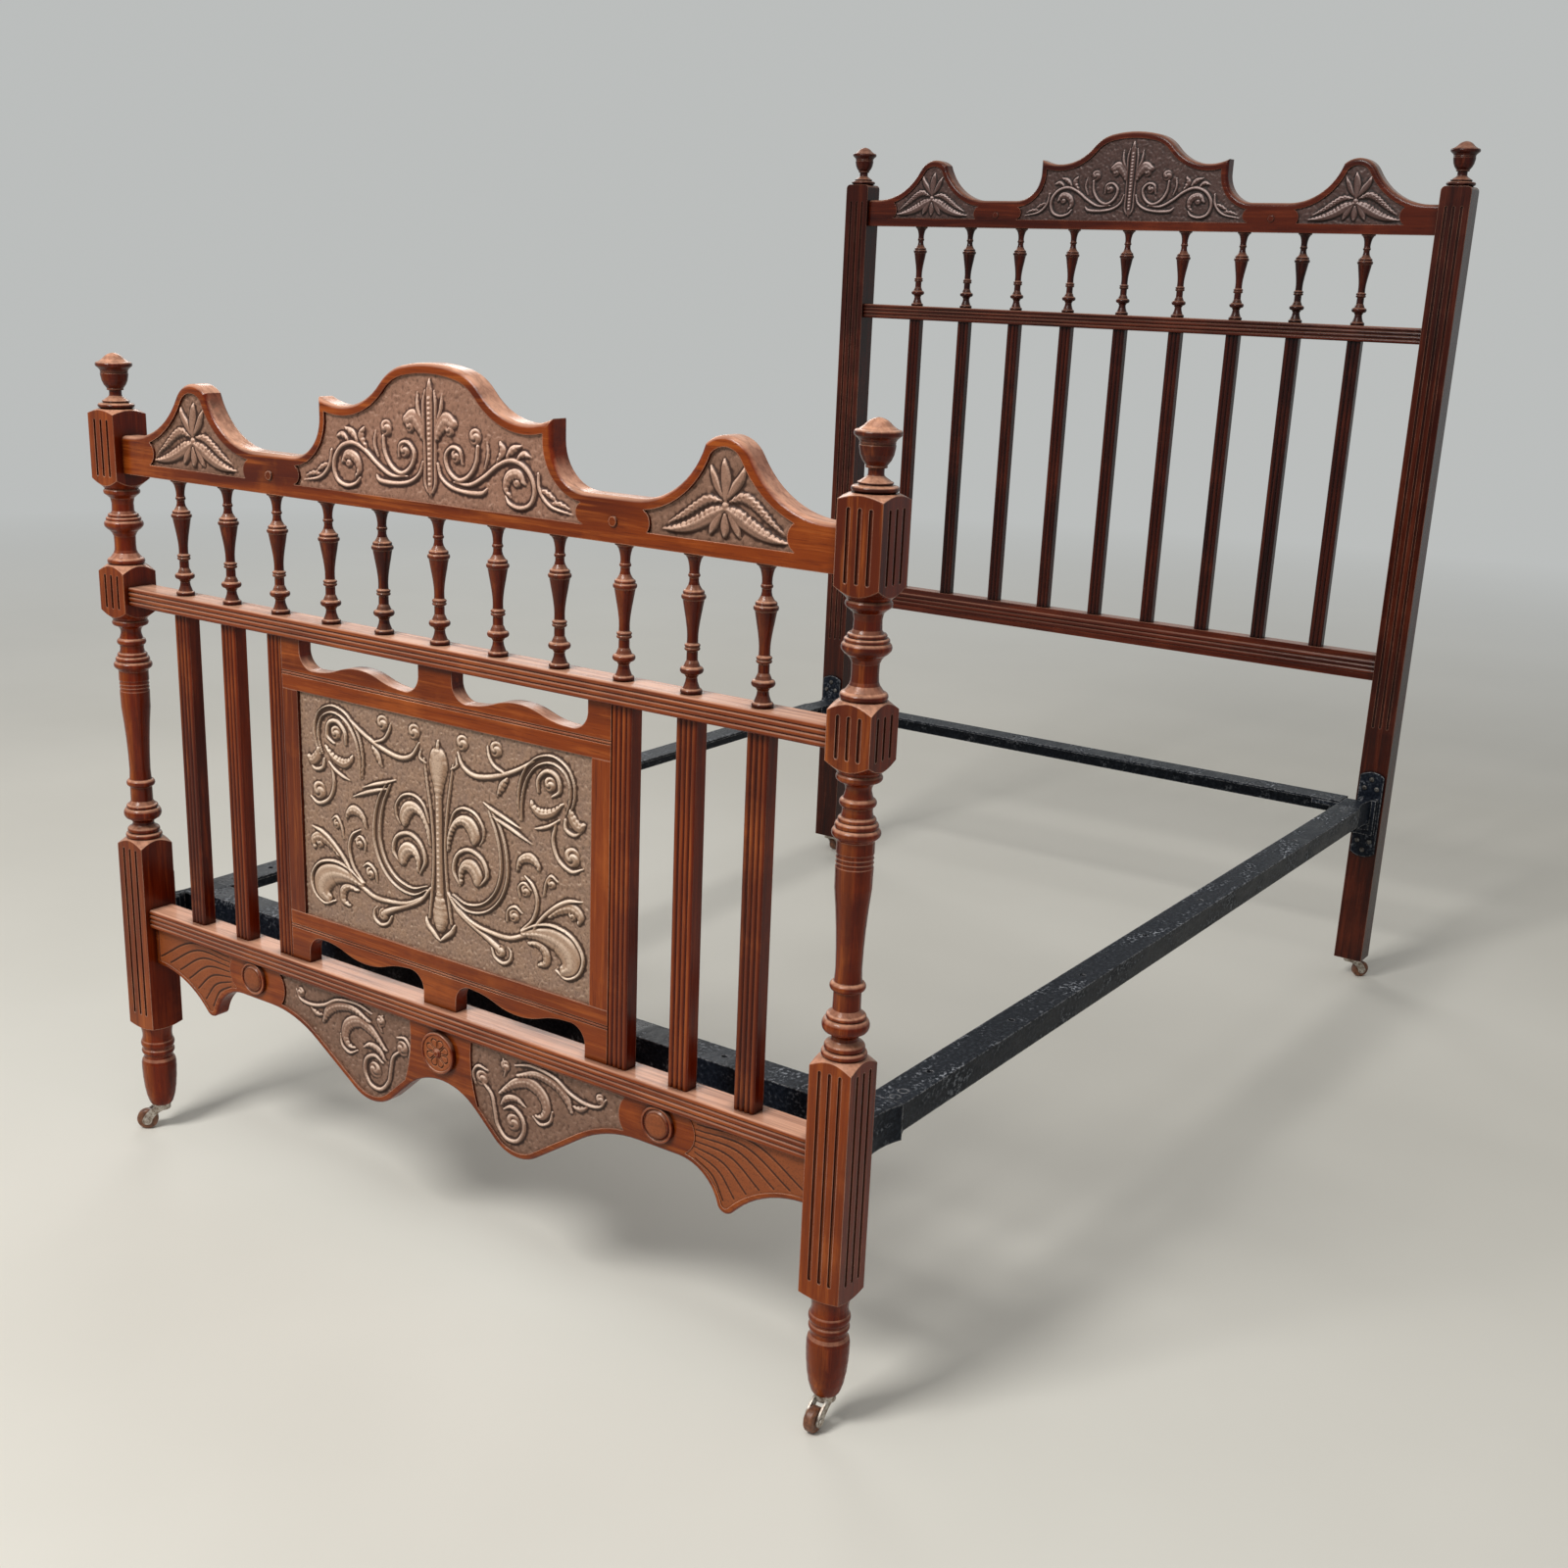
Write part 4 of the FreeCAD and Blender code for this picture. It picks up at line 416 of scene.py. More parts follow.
MATERIALS = {
    "foot_upright": wood("foot_wood_upright", "Z", FOOT_TONES, TURNED_WEAR_AND_HIGHLIGHT, 0.12),
    "foot_across": wood("foot_wood_across", "X", FOOT_TONES, FOOT_WEAR_AND_HIGHLIGHT, 0.14),
    "foot_turned": wood("foot_wood_turned", "Z", TURNED_TONES, TURNED_WEAR_AND_HIGHLIGHT, 0.10),
    "head_upright": wood("head_wood_upright", "Z", HEAD_TONES, HEAD_WEAR_AND_HIGHLIGHT, 0.19),
    "head_across": wood("head_wood_across", "X", HEAD_RAIL_TONES, HEAD_WEAR_AND_HIGHLIGHT, 0.15),
    # Carved woods: ground, relief, wear with painted highlight, dirt with painted shade, and gloss
    "panel": carved(
        "carved_panel_wood", colour(0.258, 0.163, 0.119), colour(0.338, 0.204, 0.128),
        colour(0.93, 0.75, 0.60), colour(0.050, 0.023, 0.013), 0.28,
    ),
    "foot_carving": carved(
        "foot_carving_wood", colour(0.256, 0.129, 0.084), colour(0.330, 0.176, 0.118),
        colour(0.88, 0.62, 0.49), colour(0.040, 0.013, 0.008), 0.30,
    ),
    "flank_carving": carved(
        "flank_carving_wood", colour(0.180, 0.092, 0.058), colour(0.270, 0.146, 0.098),
        colour(0.74, 0.49, 0.37), colour(0.034, 0.012, 0.006), 0.30,
    ),
    "head_carving": carved(
        "head_carving_wood", colour(0.044, 0.020, 0.016), colour(0.100, 0.052, 0.044),
        colour(0.60, 0.45, 0.42), colour(0.009, 0.003, 0.002), 0.30,
    ),
    "apron_carving": carved(
        "apron_carving_wood", colour(0.150, 0.078, 0.050), colour(0.270, 0.148, 0.100),
        colour(0.82, 0.62, 0.50), colour(0.032, 0.012, 0.007), 0.30,
    ),
    "cut_wood": carved(
        "cut_foot_wood", colour(0.150, 0.034, 0.008), colour(0.285, 0.070, 0.016),
        colour(0.47, 0.19, 0.085), colour(0.028, 0.007, 0.003), 0.34,
    ),
    "iron": black_iron("black_iron", 0.52, 0.24),
    "cast": black_iron("cast_iron", 0.52, 0.32),
    "screw": dull_steel("screw_steel", colour(0.15, 0.145, 0.14), colour(0.03, 0.022, 0.018), 0.38),
    "castor": dull_steel("castor_steel", colour(0.52, 0.48, 0.43), colour(0.13, 0.075, 0.045), 0.30),
    "wheel": turned_wheel("castor_wheel"),
}


def finish_of(node):
    """The material of a CAD node, by its name."""
    if node.startswith("castor_wheel"):
        return "wheel"
    if node.startswith("castor"):
        return "castor"
    if node == "bracket_screws":
        return "screw"
    if node.startswith(("corner_casting", "post_socket")):
        return "cast"
    if "iron" in node or node in ("bar_bolts", "rail_rivets"):
        return "iron"
    if node.startswith(("foot_finial", "foot_spindles")):
        return "foot_turned"
    end = "head" if node.startswith("head_") else "foot"
    across = ("crest", "rail", "apron", "carved_panel")
    return f"{end}_across" if any(word in node for word in across) else f"{end}_upright"


for node_name, node in NODES.items():
    node.data.materials.clear()
    node.data.materials.append(MATERIALS[finish_of(node_name)])


def add_piece(name, mesh, material):
    """Put a new mesh into the scene as a piece of the bed's fixed body."""
    mesh.materials.append(MATERIALS[material])
    piece = bpy.data.objects.new(name, mesh)
    bpy.context.scene.collection.objects.link(piece)
    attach(piece, "bed")


def smooth_line(points, steps=8):
    """Points on a smooth curve through the given ones; each entry has a place and a half width."""
    p = np.array(points, float)
    before = np.vstack([2 * p[0] - p[1], p[:-1]])[: len(p) - 1]
    after = np.vstack([p[2:], 2 * p[-1] - p[-2]]) if len(p) > 2 else 2 * p[-1:] - p[-2:-1]
    made = []
    for a, b, c, e in zip(before, p[:-1], p[1:], after):
        for t in np.linspace(0.0, 1.0, steps, endpoint=False):
            square = (2 * a - 5 * b + 4 * c - e) * t**2
            cube = (3 * b - a - 3 * c + e) * t**3
            made.append(0.5 * (2 * b + (c - a) * t + square + cube))
    made.append(p[-1])
    return np.array(made)


def section(kind, q, out, run):
    """Height share of a stroke: q from its middle to its edge, out to its bulging side, run along it."""
    beat = 0.5 + 0.5 * np.cos(2 * math.pi * run / TOOTH)
    if kind == "shell":
        inner = np.clip(0.4 - out, 0.0, 1.0)
        ribs = 0.94 + 0.06 * np.cos(2.6 * math.pi * out)
        return half_round(q * (1.0 + 0.4 * beat * inner)) * ribs * (1.0 - 0.32 * beat * inner)
    if kind == "frond":
        slant = 0.5 + 0.5 * np.cos(2 * math.pi * (run / TOOTH - 0.9 * q))
        rib = 1.0 - 0.3 * np.exp(-((q / 0.18) ** 2))
        return half_round(q * (1.0 + 0.45 * slant * q)) * (1.0 - 0.3 * slant) * rib
    if kind == "ringed":
        return half_round(q) * (0.6 + 0.4 * np.cos(2 * math.pi * run / RING))
    if kind == "hollow":
        return half_round(q) * (0.2 + 1.2 * np.exp(-(((q - 0.72) / 0.2) ** 2)))
    if kind == "vein":
        return half_round(q) * (1.0 - 0.45 * np.exp(-((q / 0.2) ** 2)))
    return half_round(q * SLIM)


def half_round(q):
    """Height share of a half round."""
    return np.sqrt(np.clip(1.0 - q**2, 0.0, 1.0))


class Relief:
    """A height field over a rectangle of a board's front, in millimetres."""

    def __init__(self, left, right, low, high, pitch, base=0.0):
        self.x = np.arange(left, right + pitch / 2, pitch)
        self.z = np.arange(low, high + pitch / 2, pitch)
        self.pitch = pitch
        self.height = np.full((len(self.z), len(self.x)), base)

    def window(self, x0, x1, z0, z1):
        """Rows and columns of the cells in a rectangle."""
        columns = slice(*np.searchsorted(self.x, (x0, x1)))
        rows = slice(*np.searchsorted(self.z, (z0, z1)))
        return rows, columns

    def mirrored(self):
        """Swap left and right, with the columns still running from left to right."""
        self.x = -self.x[::-1]
        self.height = self.height[:, ::-1]

    def runs(self, kind, points):
        """Steps of a smooth line of (x, z, half width): the cells near each, and their height shares."""
        line = smooth_line(points)
        line[:, 2] = np.maximum(line[:, 2], LEAST_WIDTH)
        steps = np.diff(line[:, :2], axis=0)
        lengths = np.maximum(np.hypot(steps[:, 0], steps[:, 1]), 1e-6)
        bends = steps[:-1, 0] * steps[1:, 1] - steps[:-1, 1] * steps[1:, 0]
        bulge = -1.0 if bends.sum() > 0 else 1.0
        travelled = 0.0
        capped = kind != "hollow"
        for (ax, az, aw), (bx, bz, bw), (dx, dz), length in zip(line[:-1], line[1:], steps, lengths):
            reach = max(aw, bw)
            rows, columns = self.window(
                min(ax, bx) - reach, max(ax, bx) + reach, min(az, bz) - reach, max(az, bz) + reach
            )
            x, z = np.meshgrid(self.x[columns] - ax, self.z[rows] - az)
            along = (x * dx + z * dz) / length**2
            t = np.clip(along, 0.0, 1.0)
            width = aw + t * (bw - aw)
            q = np.hypot(x - t * dx, z - t * dz) / width
            out = bulge * np.clip((z * dx - x * dz) / (length * width), -1.0, 1.0)
            share = section(kind, q, out, travelled + t * length)
            near = (q < 1.0) & (capped | (np.abs(along - 0.5) < OPEN_LAP))
            yield rows, columns, near, share * np.minimum(1.0, width / FULL_WIDTH + THIN_SHARE)
            travelled += length

    def stroke(self, kind, rise, points):
        """Raise a tapering band along a smooth line."""
        for rows, columns, near, share in self.runs(kind, points):
            made = rise * share * near
            self.height[rows, columns] = np.maximum(self.height[rows, columns], made)

    def cut(self, level, depth, points):
        """Cut a groove along a smooth line into a raised level."""
        for rows, columns, near, share in self.runs("dome", points):
            made = np.where(near, level - depth * share, level)
            self.height[rows, columns] = np.minimum(self.height[rows, columns], made)

    def bud(self, rise, x, z, radius, lobes=0):
        """Raise a round bud, with a curl of so many arms cut into it where a count is given."""
        rows, columns = self.window(x - radius, x + radius, z - radius, z + radius)
        gx, gz = np.meshgrid(self.x[columns] - x, self.z[rows] - z)
        q = np.hypot(gx, gz) / radius
        made = rise * half_round(q) * (q < 1.0)
        if lobes:
            curl = 0.5 + 0.5 * np.cos(lobes * np.arctan2(gz, gx) + CURL_TURN * q)
            made *= 1.0 - CURL_DEPTH * curl**2 * np.clip(q * 2.0, 0.0, 1.0)
        self.height[rows, columns] = np.maximum(self.height[rows, columns], made)

    def carve(self, strokes, buds=(), side=1):
        """Carve strokes and buds, on the other side of the middle line where side is -1."""
        for kind, rise, points in strokes:
            self.stroke(kind, rise, [(x * side, z, w) for x, z, w in points])
        for rise, x, z, radius, lobes in buds:
            self.bud(rise, x * side, z, radius, lobes)

    def carve_middle(self, strokes, beads):
        """Carve the strokes on the middle line and a string of beads over them."""
        self.carve(strokes)
        top, bottom, count, radius, rise = beads
        for z in np.linspace(top, bottom, count):
            self.bud(rise, 0.0, z, radius)

    def matted(self, depth, grain):
        """Roughen the ground as a punch does."""
        coarse = RNG.random((len(self.z) // grain + 2, len(self.x) // grain + 2))
        dots = np.kron(coarse, np.ones((grain, grain)))[: len(self.z), : len(self.x)]
        self.height += depth * blurred(dots, 1) * np.clip(PUNCHED_BELOW - self.height, 0.0, 1.0)

    def piece(self, name, front, material, slot, inside=None):
        """The height field as a mesh in front of a plane, kept only inside the given outline."""
        rows, columns = self.height.shape
        x, z = np.meshgrid(self.x, self.z)
        depths = front - (self.height.ravel() + LIFT) * MM
        places = np.stack([x.ravel() * MM, depths, z.ravel() * MM], 1)
        index = np.arange(rows * columns).reshape(rows, columns)
        corners = (index[:-1, :-1], index[:-1, 1:], index[1:, 1:], index[1:, :-1])
        quads = np.stack(corners, -1).reshape(-1, 4)
        if inside is not None:
            middle_x = (x[:-1, :-1] + x[1:, 1:]).ravel() / 2
            middle_z = (z[:-1, :-1] + z[1:, 1:]).ravel() / 2
            quads = quads[within(inside, middle_x, middle_z)]
        soft = blurred(self.height, max(1, round(RIDGE_REACH / self.pitch)))
        ridge = np.clip(0.5 + (self.height - soft) / RIDGE_DEPTH, 0.0, 1.0).ravel()
        rise = np.clip(self.height / FULL_RISE, 0.0, 1.0).ravel()
        used, renumbered = np.unique(quads, return_inverse=True)
        mesh = bpy.data.meshes.new(name)
        mesh.from_pydata(places[used].tolist(), [], renumbered.reshape(-1, 4).tolist())
        for label, values in (("ridge", ridge), ("rise", rise)):
            layer = mesh.attributes.new(label, "FLOAT", "POINT")
            layer.data.foreach_set("value", values[used].astype(np.float32))
        mesh.polygons.foreach_set("use_smooth", np.ones(len(mesh.polygons), bool))
        add_piece(name, mesh, material)


def blurred(field, reach):
    """A box blur, run twice."""
    made = field
    for _ in range(2):
        for axis in (0, 1):
            before = np.repeat(made.take([0], axis), reach, axis)
            after = np.repeat(made.take([-1], axis), reach, axis)
            padded = np.concatenate([before, made, after], axis)
            total = np.cumsum(np.insert(padded, 0, 0.0, axis), axis)
            span = 2 * reach + 1
            count = made.shape[axis]
            made = (total.take(range(span, span + count), axis) - total.take(range(count), axis)) / span
    return made


def within(outline, x, z):
    """Which points lie inside a closed outline."""
    inside = np.zeros(len(x), bool)
    for (ax, az), (bx, bz) in zip(outline, np.roll(outline, -1, 0)):
        crosses = (az > z) != (bz > z)
        inside ^= crosses & (x < (bx - ax) * (z - az) / (bz - az + 1e-12) + ax)
    return inside


def unit(rows):
    """Rows at length one."""
    return rows / (np.hypot(*rows.T)[:, None] + 1e-9)


def grown(outline, margin):
    """An outline moved outwards by a margin, point by point."""
    p = np.array(outline, float)
    ahead = np.roll(p, -1, 0) - p
    behind = p - np.roll(p, 1, 0)
    along = unit(ahead) + unit(behind)
    normal = unit(np.stack([along[:, 1], -along[:, 0]], 1))
    area = np.sum(p[:, 0] * np.roll(p[:, 1], -1) - np.roll(p[:, 0], -1) * p[:, 1])
    return p + normal * margin * math.copysign(1.0, area)


def ring_outline(x, z, radius):
    """Points on a circle."""
    turn = np.linspace(0.0, 2 * math.pi, 48, endpoint=False)
    return np.stack([x + radius * np.cos(turn), z + radius * np.sin(turn)], 1)


def arc_run(start, passed, end, steps=10):
    """Points on the circle through three points."""
    (ax, ay), (bx, by), (cx, cy) = start, passed, end
    turn = 2 * (ax * (by - cy) + bx * (cy - ay) + cx * (ay - by))
    if abs(turn) < 1e-6:
        return [start, end]
    ux = ((ax**2 + ay**2) * (by - cy) + (bx**2 + by**2) * (cy - ay) + (cx**2 + cy**2) * (ay - by)) / turn
    uy = ((ax**2 + ay**2) * (cx - bx) + (bx**2 + by**2) * (ax - cx) + (cx**2 + cy**2) * (bx - ax)) / turn
    angles = [math.atan2(y - uy, x - ux) for x, y in (start, passed, end)]
    whole = 2 * math.pi
    sweep = (angles[2] - angles[0]) % whole
    if (angles[1] - angles[0]) % whole > sweep:
        sweep -= whole
    radius = math.hypot(ax - ux, ay - uy)
    run = [angles[0] + sweep * t for t in np.linspace(0.0, 1.0, steps)]
    return [(ux + radius * math.cos(a), uy + radius * math.sin(a)) for a in run]


def traced(points):
    """An open run from corners and arc points, as the boards' outlines are written."""
    made = []
    held = None
    for point in points:
        if len(point) == 3:
            held = point[:2]
        elif held and made:
            made.extend(arc_run(made[-1], held, point)[1:])
            held = None
        else:
            made.append(point)
    return made


def mirror_closed(half):
    """A closed outline from its right half."""
    return np.array(list(half) + [(-x, z) for x, z in reversed(half)])


# Outlines of the sunk grounds, in millimetres across and above the floor, and their lap into the rims
RIM_LAP = 3.5
WING_LAP = 2.5
CENTRE_FIELD = mirror_closed(traced([
    (0.0, 1261.0), (24.0, 1259.7, "arc"), (47.2, 1255.8), (65.3, 1248.5, "arc"), (80.2, 1236.1),
    (131.9, 1202.5, "arc"), (193.5, 1201.2), (193.5, 1193.4), (211.0, 1147.3, "arc"), (254.7, 1124.5),
    (247.2, 1110.9, "arc"), (262.3, 1098.9),
]))
SIDE_FIELD = np.array(traced([
    (358.1, 1098.9), (568.1, 1098.9), (558.0, 1113.0, "arc"), (566.2, 1131.2), (524.0, 1155.2, "arc"),
    (492.5, 1192.4), (471.1, 1206.9, "arc"), (447.8, 1197.6), (409.7, 1148.1, "arc"), (351.8, 1124.8),
    (361.9, 1110.9, "arc"), (358.1, 1098.9),
])[:-1])
APRON_FIELD = np.array(traced([
    (59.9, 360.0), (336.1, 360.0), (326.0, 336.0, "arc"), (334.2, 311.4), (292.4, 300.7, "arc"),
    (254.0, 280.7), (173.7, 226.1), (140.3, 217.1, "arc"), (108.4, 230.8), (71.6, 264.3),
    (59.9, 316.1, "arc"), (59.9, 360.0),
])[:-1])
WING_FIELD = np.array(traced([
    (624.2, 361.3), (624.2, 309.6), (559.5, 295.4, "arc"), (506.5, 256.0), (500.7, 254.1, "arc"),
    (496.3, 258.4), (474.2, 293.3, "arc"), (437.0, 311.0), (451.4, 344.0, "arc"), (443.0, 361.3),
]))

# Carving tables, in millimetres. A stroke has a kind, a rise, and points: from the middle line, above the
# floor, half width. A bud has a rise, a place, a radius and a count of arms. Beads have a top, a bottom,
# a count, a radius and a rise. Tables without a middle hold the right half or side
PANEL_STROKES = [
    ("hollow", 5.4, [
        (24, 567, 3.5), (52, 556, 7), (84, 563, 8.5), (108, 585, 9), (120, 616, 9), (119, 648, 8.5),
        (111, 676, 7.5), (101, 694, 5.5), (93, 706, 2.5),
    ]),
    ("dome", 4.8, [(82, 711, 1.2), (104, 703, 4), (126, 696, 3.6), (150, 687, 0.8)]),
    ("dome", 4.8, [(100, 695, 2), (120, 689, 4.4), (143, 681, 4), (170, 670, 0.8)]),
    ("dome", 5.0, [(17, 568, 3), (34, 548, 4.6), (58, 534, 5), (88, 521, 5.6), (108, 511, 7)]),
    ("dome", 4.4, [
        (96, 508, 2), (103, 496, 3.4), (118, 491, 4), (130, 498, 3.6), (131, 510, 2),
        (125, 516, 1.2),
    ]),
    ("dome", 4.6, [(30, 553, 2.4), (62, 536, 3.8), (96, 530, 4.6), (130, 530, 5.2), (158, 541, 5)]),
    ("shell", 5.8, [
        (154, 542, 5), (184, 548, 11), (212, 546, 17), (233, 534, 20), (238, 517, 16),
        (226, 506, 9),
    ]),
    ("dome", 5.6, [
        (152, 546, 3), (180, 561, 3), (211, 566, 3.2), (242, 557, 3.2), (259, 534, 3.2),
        (253, 510, 3.6), (232, 498, 3.4), (212, 505, 2),
    ]),
    ("shell", 4.8, [(164, 531, 3), (182, 533, 6), (194, 524, 7), (194, 510, 6), (182, 505, 3)]),
    ("dome", 4.8, [(170, 548, 2.6), (186, 570, 4.2), (210, 592, 4.6), (234, 606, 4.4), (256, 610, 1.2)]),
    ("shell", 4.8, [(200, 576, 3), (218, 590, 7), (238, 597, 9), (253, 590, 7), (251, 579, 3)]),
    ("dome", 4.2, [(150, 546, 2.4), (171, 566, 3.6), (179, 592, 3.8), (172, 613, 3.4), (156, 624, 1.4)]),
    ("dome", 4.2, [(124, 553, 2), (127, 569, 3), (140, 577, 3.2), (152, 570, 1.6)]),
    ("dome", 4.0, [(148, 592, 2), (146, 606, 2.8), (156, 614, 2.8), (168, 606, 1.4)]),
    ("shell", 4.8, [(143, 628, 2), (150, 644, 5.5), (166, 651, 8), (179, 644, 5), (182, 634, 1.4)]),
    ("dome", 4.0, [(190, 604, 2), (194, 622, 3), (203, 634, 3.2), (214, 628, 1.6)]),
    ("hollow", 5.4, [
        (150, 700, 2.5), (149, 730, 5), (157, 760, 6.5), (176, 783, 7), (203, 792, 7),
        (227, 783, 6.5), (238, 764, 6), (238, 742, 5), (230, 722, 3),
    ]),
    ("dome", 4.6, [
        (180, 744, 2.4), (181, 762, 4), (196, 775, 4.6), (213, 770, 4.6), (217, 752, 4),
        (204, 742, 2.4),
    ]),
    ("dome", 4.6, [
        (172, 784, 3), (148, 769, 4.2), (122, 757, 4.8), (94, 748, 5.2), (68, 745, 5.2),
        (48, 753, 4.4), (36, 772, 1.4),
    ]),
    ("dome", 4.4, [(126, 757, 2.5), (104, 765, 3.6), (94, 777, 3.2), (90, 790, 1.2)]),
    ("shell", 4.6, [(126, 752, 2.5), (117, 740, 6), (109, 725, 2)]),
    ("shell", 4.8, [(222, 736, 2), (206, 722, 6), (186, 716, 8), (172, 722, 5), (168, 730, 2)]),
    ("dome", 4.0, [(216, 713, 2), (202, 703, 3.6), (188, 697, 3.6), (174, 693, 1.4)]),
    ("shell", 4.8, [(236, 730, 3), (240, 718, 8), (250, 710, 8), (258, 715, 3)]),
    ("dome", 4.4, [(226, 716, 2), (228, 703, 4), (242, 698, 4), (254, 704, 1.4)]),
    ("dome", 4.4, [(210, 706, 2), (206, 682, 3.8), (216, 659, 4.2), (238, 648, 4.2), (257, 655, 1.4)]),
    ("shell", 5.8, [
        (17, 630, 2.5), (21, 652, 4), (31, 670, 5.5), (45, 678, 8), (58, 674, 11.5),
        (66, 662, 10.5), (65, 652, 6),
    ]),
    ("dome", 4.6, [
        (19, 662, 2), (29, 686, 2.6), (47, 696, 2.8), (68, 692, 2.8), (82, 676, 2.6), (82, 660, 2),
        (75, 649, 1.2),
    ]),
    ("dome", 4.8, [
        (38, 584, 2), (27, 605, 3.8), (35, 628, 4.2), (57, 639, 4.4), (81, 630, 4.4), (89, 609, 4),
        (76, 592, 2),
    ]),
    ("shell", 5.8, [
        (41, 588, 3), (41, 604, 5), (49, 615, 7.5), (61, 615, 11.5), (70, 605, 11), (70, 594, 6),
    ]),
    ("dome", 4.4, [
        (27, 752, 1.6), (21, 716, 2.6), (15, 680, 2.6), (11.5, 640, 2.4), (11.5, 608, 2.4),
        (14, 576, 2.6), (18, 545, 2.8), (21, 524, 2.4),
    ]),
    ("dome", 5.0, [(1, 495, 2.4), (11, 503, 5), (22, 512, 5.4), (27, 523, 2)]),
    ("dome", 4.2, [(24, 746, 2), (34, 752, 3), (33, 763, 1.2)]),
]
PANEL_BUDS = [
    (5.2, 112, 507, 10, 1), (5.0, 240, 588, 8, 2), (5.0, 137, 564, 10, 2), (4.8, 158, 604, 9, 2),
    (4.6, 203, 624, 8, 2), (5.2, 45, 786, 11.5, 2), (5.2, 106, 788, 11.5, 2), (5.2, 200, 758, 10.5, 2),
    (5.4, 238, 667, 14, 2),
]
PANEL_MIDDLE = [
    ("dome", 4.6, [(0, 782, 1.6), (0, 772, 4), (0, 764, 5)]),
    ("ringed", 5.8, [(0, 766, 6), (0, 760, 14), (0, 748, 18), (0, 734, 15), (0, 718, 10), (0, 704, 7)]),
    ("dome", 5.0, [(0, 714, 8), (0, 660, 7.5), (0, 610, 7.5), (0, 560, 9)]),
    ("ringed", 5.8, [(0, 562, 7), (0, 547, 12), (0, 530, 15), (0, 514, 9)]),
]
PANEL_BEADS = (702, 566, 17, 4.2, 5.9)

CREST_STROKES = [
    ("dome", 4.2, [
        (13, 1150, 2), (20, 1133, 3.4), (38, 1122, 4), (64, 1118, 4.2), (90, 1119, 4.6),
        (99, 1126, 1.4),
    ]),
    ("dome", 4.5, [
        (57, 1152, 2), (53, 1169, 3.4), (39, 1172, 3.8), (28, 1160, 4), (34, 1142, 4.2),
        (51, 1132, 4.4), (69, 1139, 4.4), (81, 1156, 4), (84, 1177, 3),
    ]),
    ("dome", 4.5, [
        (42, 1129, 2), (70, 1128, 4), (95, 1140, 4.4), (118, 1156, 4.6), (140, 1164, 4.8),
        (161, 1159, 4.8), (175, 1145, 4.6), (179, 1129, 4.6), (172, 1113, 4.4), (155, 1107, 4.2),
        (138, 1111, 3.6), (130, 1120, 1.4),
    ]),
    ("shell", 4.6, [(162, 1137, 3), (152, 1148, 7), (137, 1144, 7.5), (131, 1130, 5), (139, 1119, 2)]),
    ("dome", 4.0, [(95, 1150, 2), (101, 1166, 3), (99, 1183, 1.2)]),
    ("shell", 4.3, [(116, 1160, 2), (126, 1174, 6), (121, 1185, 2)]),
    ("shell", 4.3, [(132, 1166, 2), (143, 1177, 6), (157, 1183, 1.6)]),
    ("shell", 4.2, [(150, 1166, 2), (161, 1173, 5), (173, 1170, 1.4)]),
    ("dome", 4.2, [(184, 1152, 2), (188, 1131, 3.6), (206, 1114, 3.6), (240, 1107, 1.2)]),
    ("frond", 3.8, [(188, 1134, 2), (202, 1128, 4.4), (216, 1120, 1.2)]),
    ("frond", 3.8, [(204, 1118, 2), (220, 1118, 4), (236, 1113, 1.2)]),
    ("dome", 4.4, [
        (8, 1240, 1.4), (11, 1222, 2.8), (10, 1190, 2.4), (9, 1150, 2.4), (9, 1124, 2.8),
        (4, 1112, 2.4),
    ]),
    ("dome", 4.2, [(12, 1200, 2), (20, 1216, 4), (22, 1237, 1.2)]),
    ("shell", 4.9, [(12, 1178, 2.4), (17, 1192, 8), (28, 1204, 12), (40, 1200, 9)]),
]
CREST_BUDS = [
    (4.9, 35, 1194, 9, 2), (4.9, 79, 1188, 11, 2), (4.9, 46, 1162, 9.5, 2), (4.7, 150, 1138, 7, 1),
]
CREST_MIDDLE = [
    ("dome", 3.4, [(0, 1254, 1.4), (0, 1242, 6), (0, 1228, 8), (0, 1130, 7), (0, 1118, 7), (0, 1106, 1.4)]),
]
CREST_BEADS = (1230, 1122, 18, 4.0, 4.9)
CREST_SIDE_STROKES = [
    ("vein", 4.5, [(470, 1147, 3), (470, 1164, 7.5), (468, 1180, 6.5), (466, 1193, 1.2)]),
    ("vein", 4.3, [(472, 1148, 2), (482, 1162, 6.5), (491, 1174, 5.5), (495, 1186, 1.2)]),
    ("vein", 4.3, [(468, 1148, 2), (458, 1162, 5.5), (452, 1174, 4.5), (447, 1184, 1.2)]),
    ("frond", 4.3, [(476, 1146, 2), (494, 1152, 7), (510, 1146, 7), (530, 1131, 5), (552, 1116, 1.2)]),
    ("frond", 4.3, [(464, 1146, 2), (446, 1146, 6.4), (430, 1138, 6.4), (410, 1125, 5), (388, 1114, 1.2)]),
    ("shell", 4.8, [(470, 1138, 4), (450, 1129, 10), (426, 1116, 9), (404, 1109, 6), (380, 1106, 1.4)]),
    ("shell", 4.8, [(470, 1138, 4), (490, 1129, 10), (514, 1117, 9), (536, 1110, 6), (558, 1107, 1.4)]),
    ("vein", 4.5, [(464, 1131, 3), (455, 1119, 6.5), (449, 1107, 2)]),
    ("vein", 4.5, [(476, 1131, 3), (485, 1119, 6.5), (491, 1107, 2)]),
    ("vein", 4.6, [(470, 1131, 3), (470, 1118, 7), (470, 1106, 2.6)]),
]
CREST_SIDE_BUDS = [(4.8, 470, 1141, 5.5, 0)]

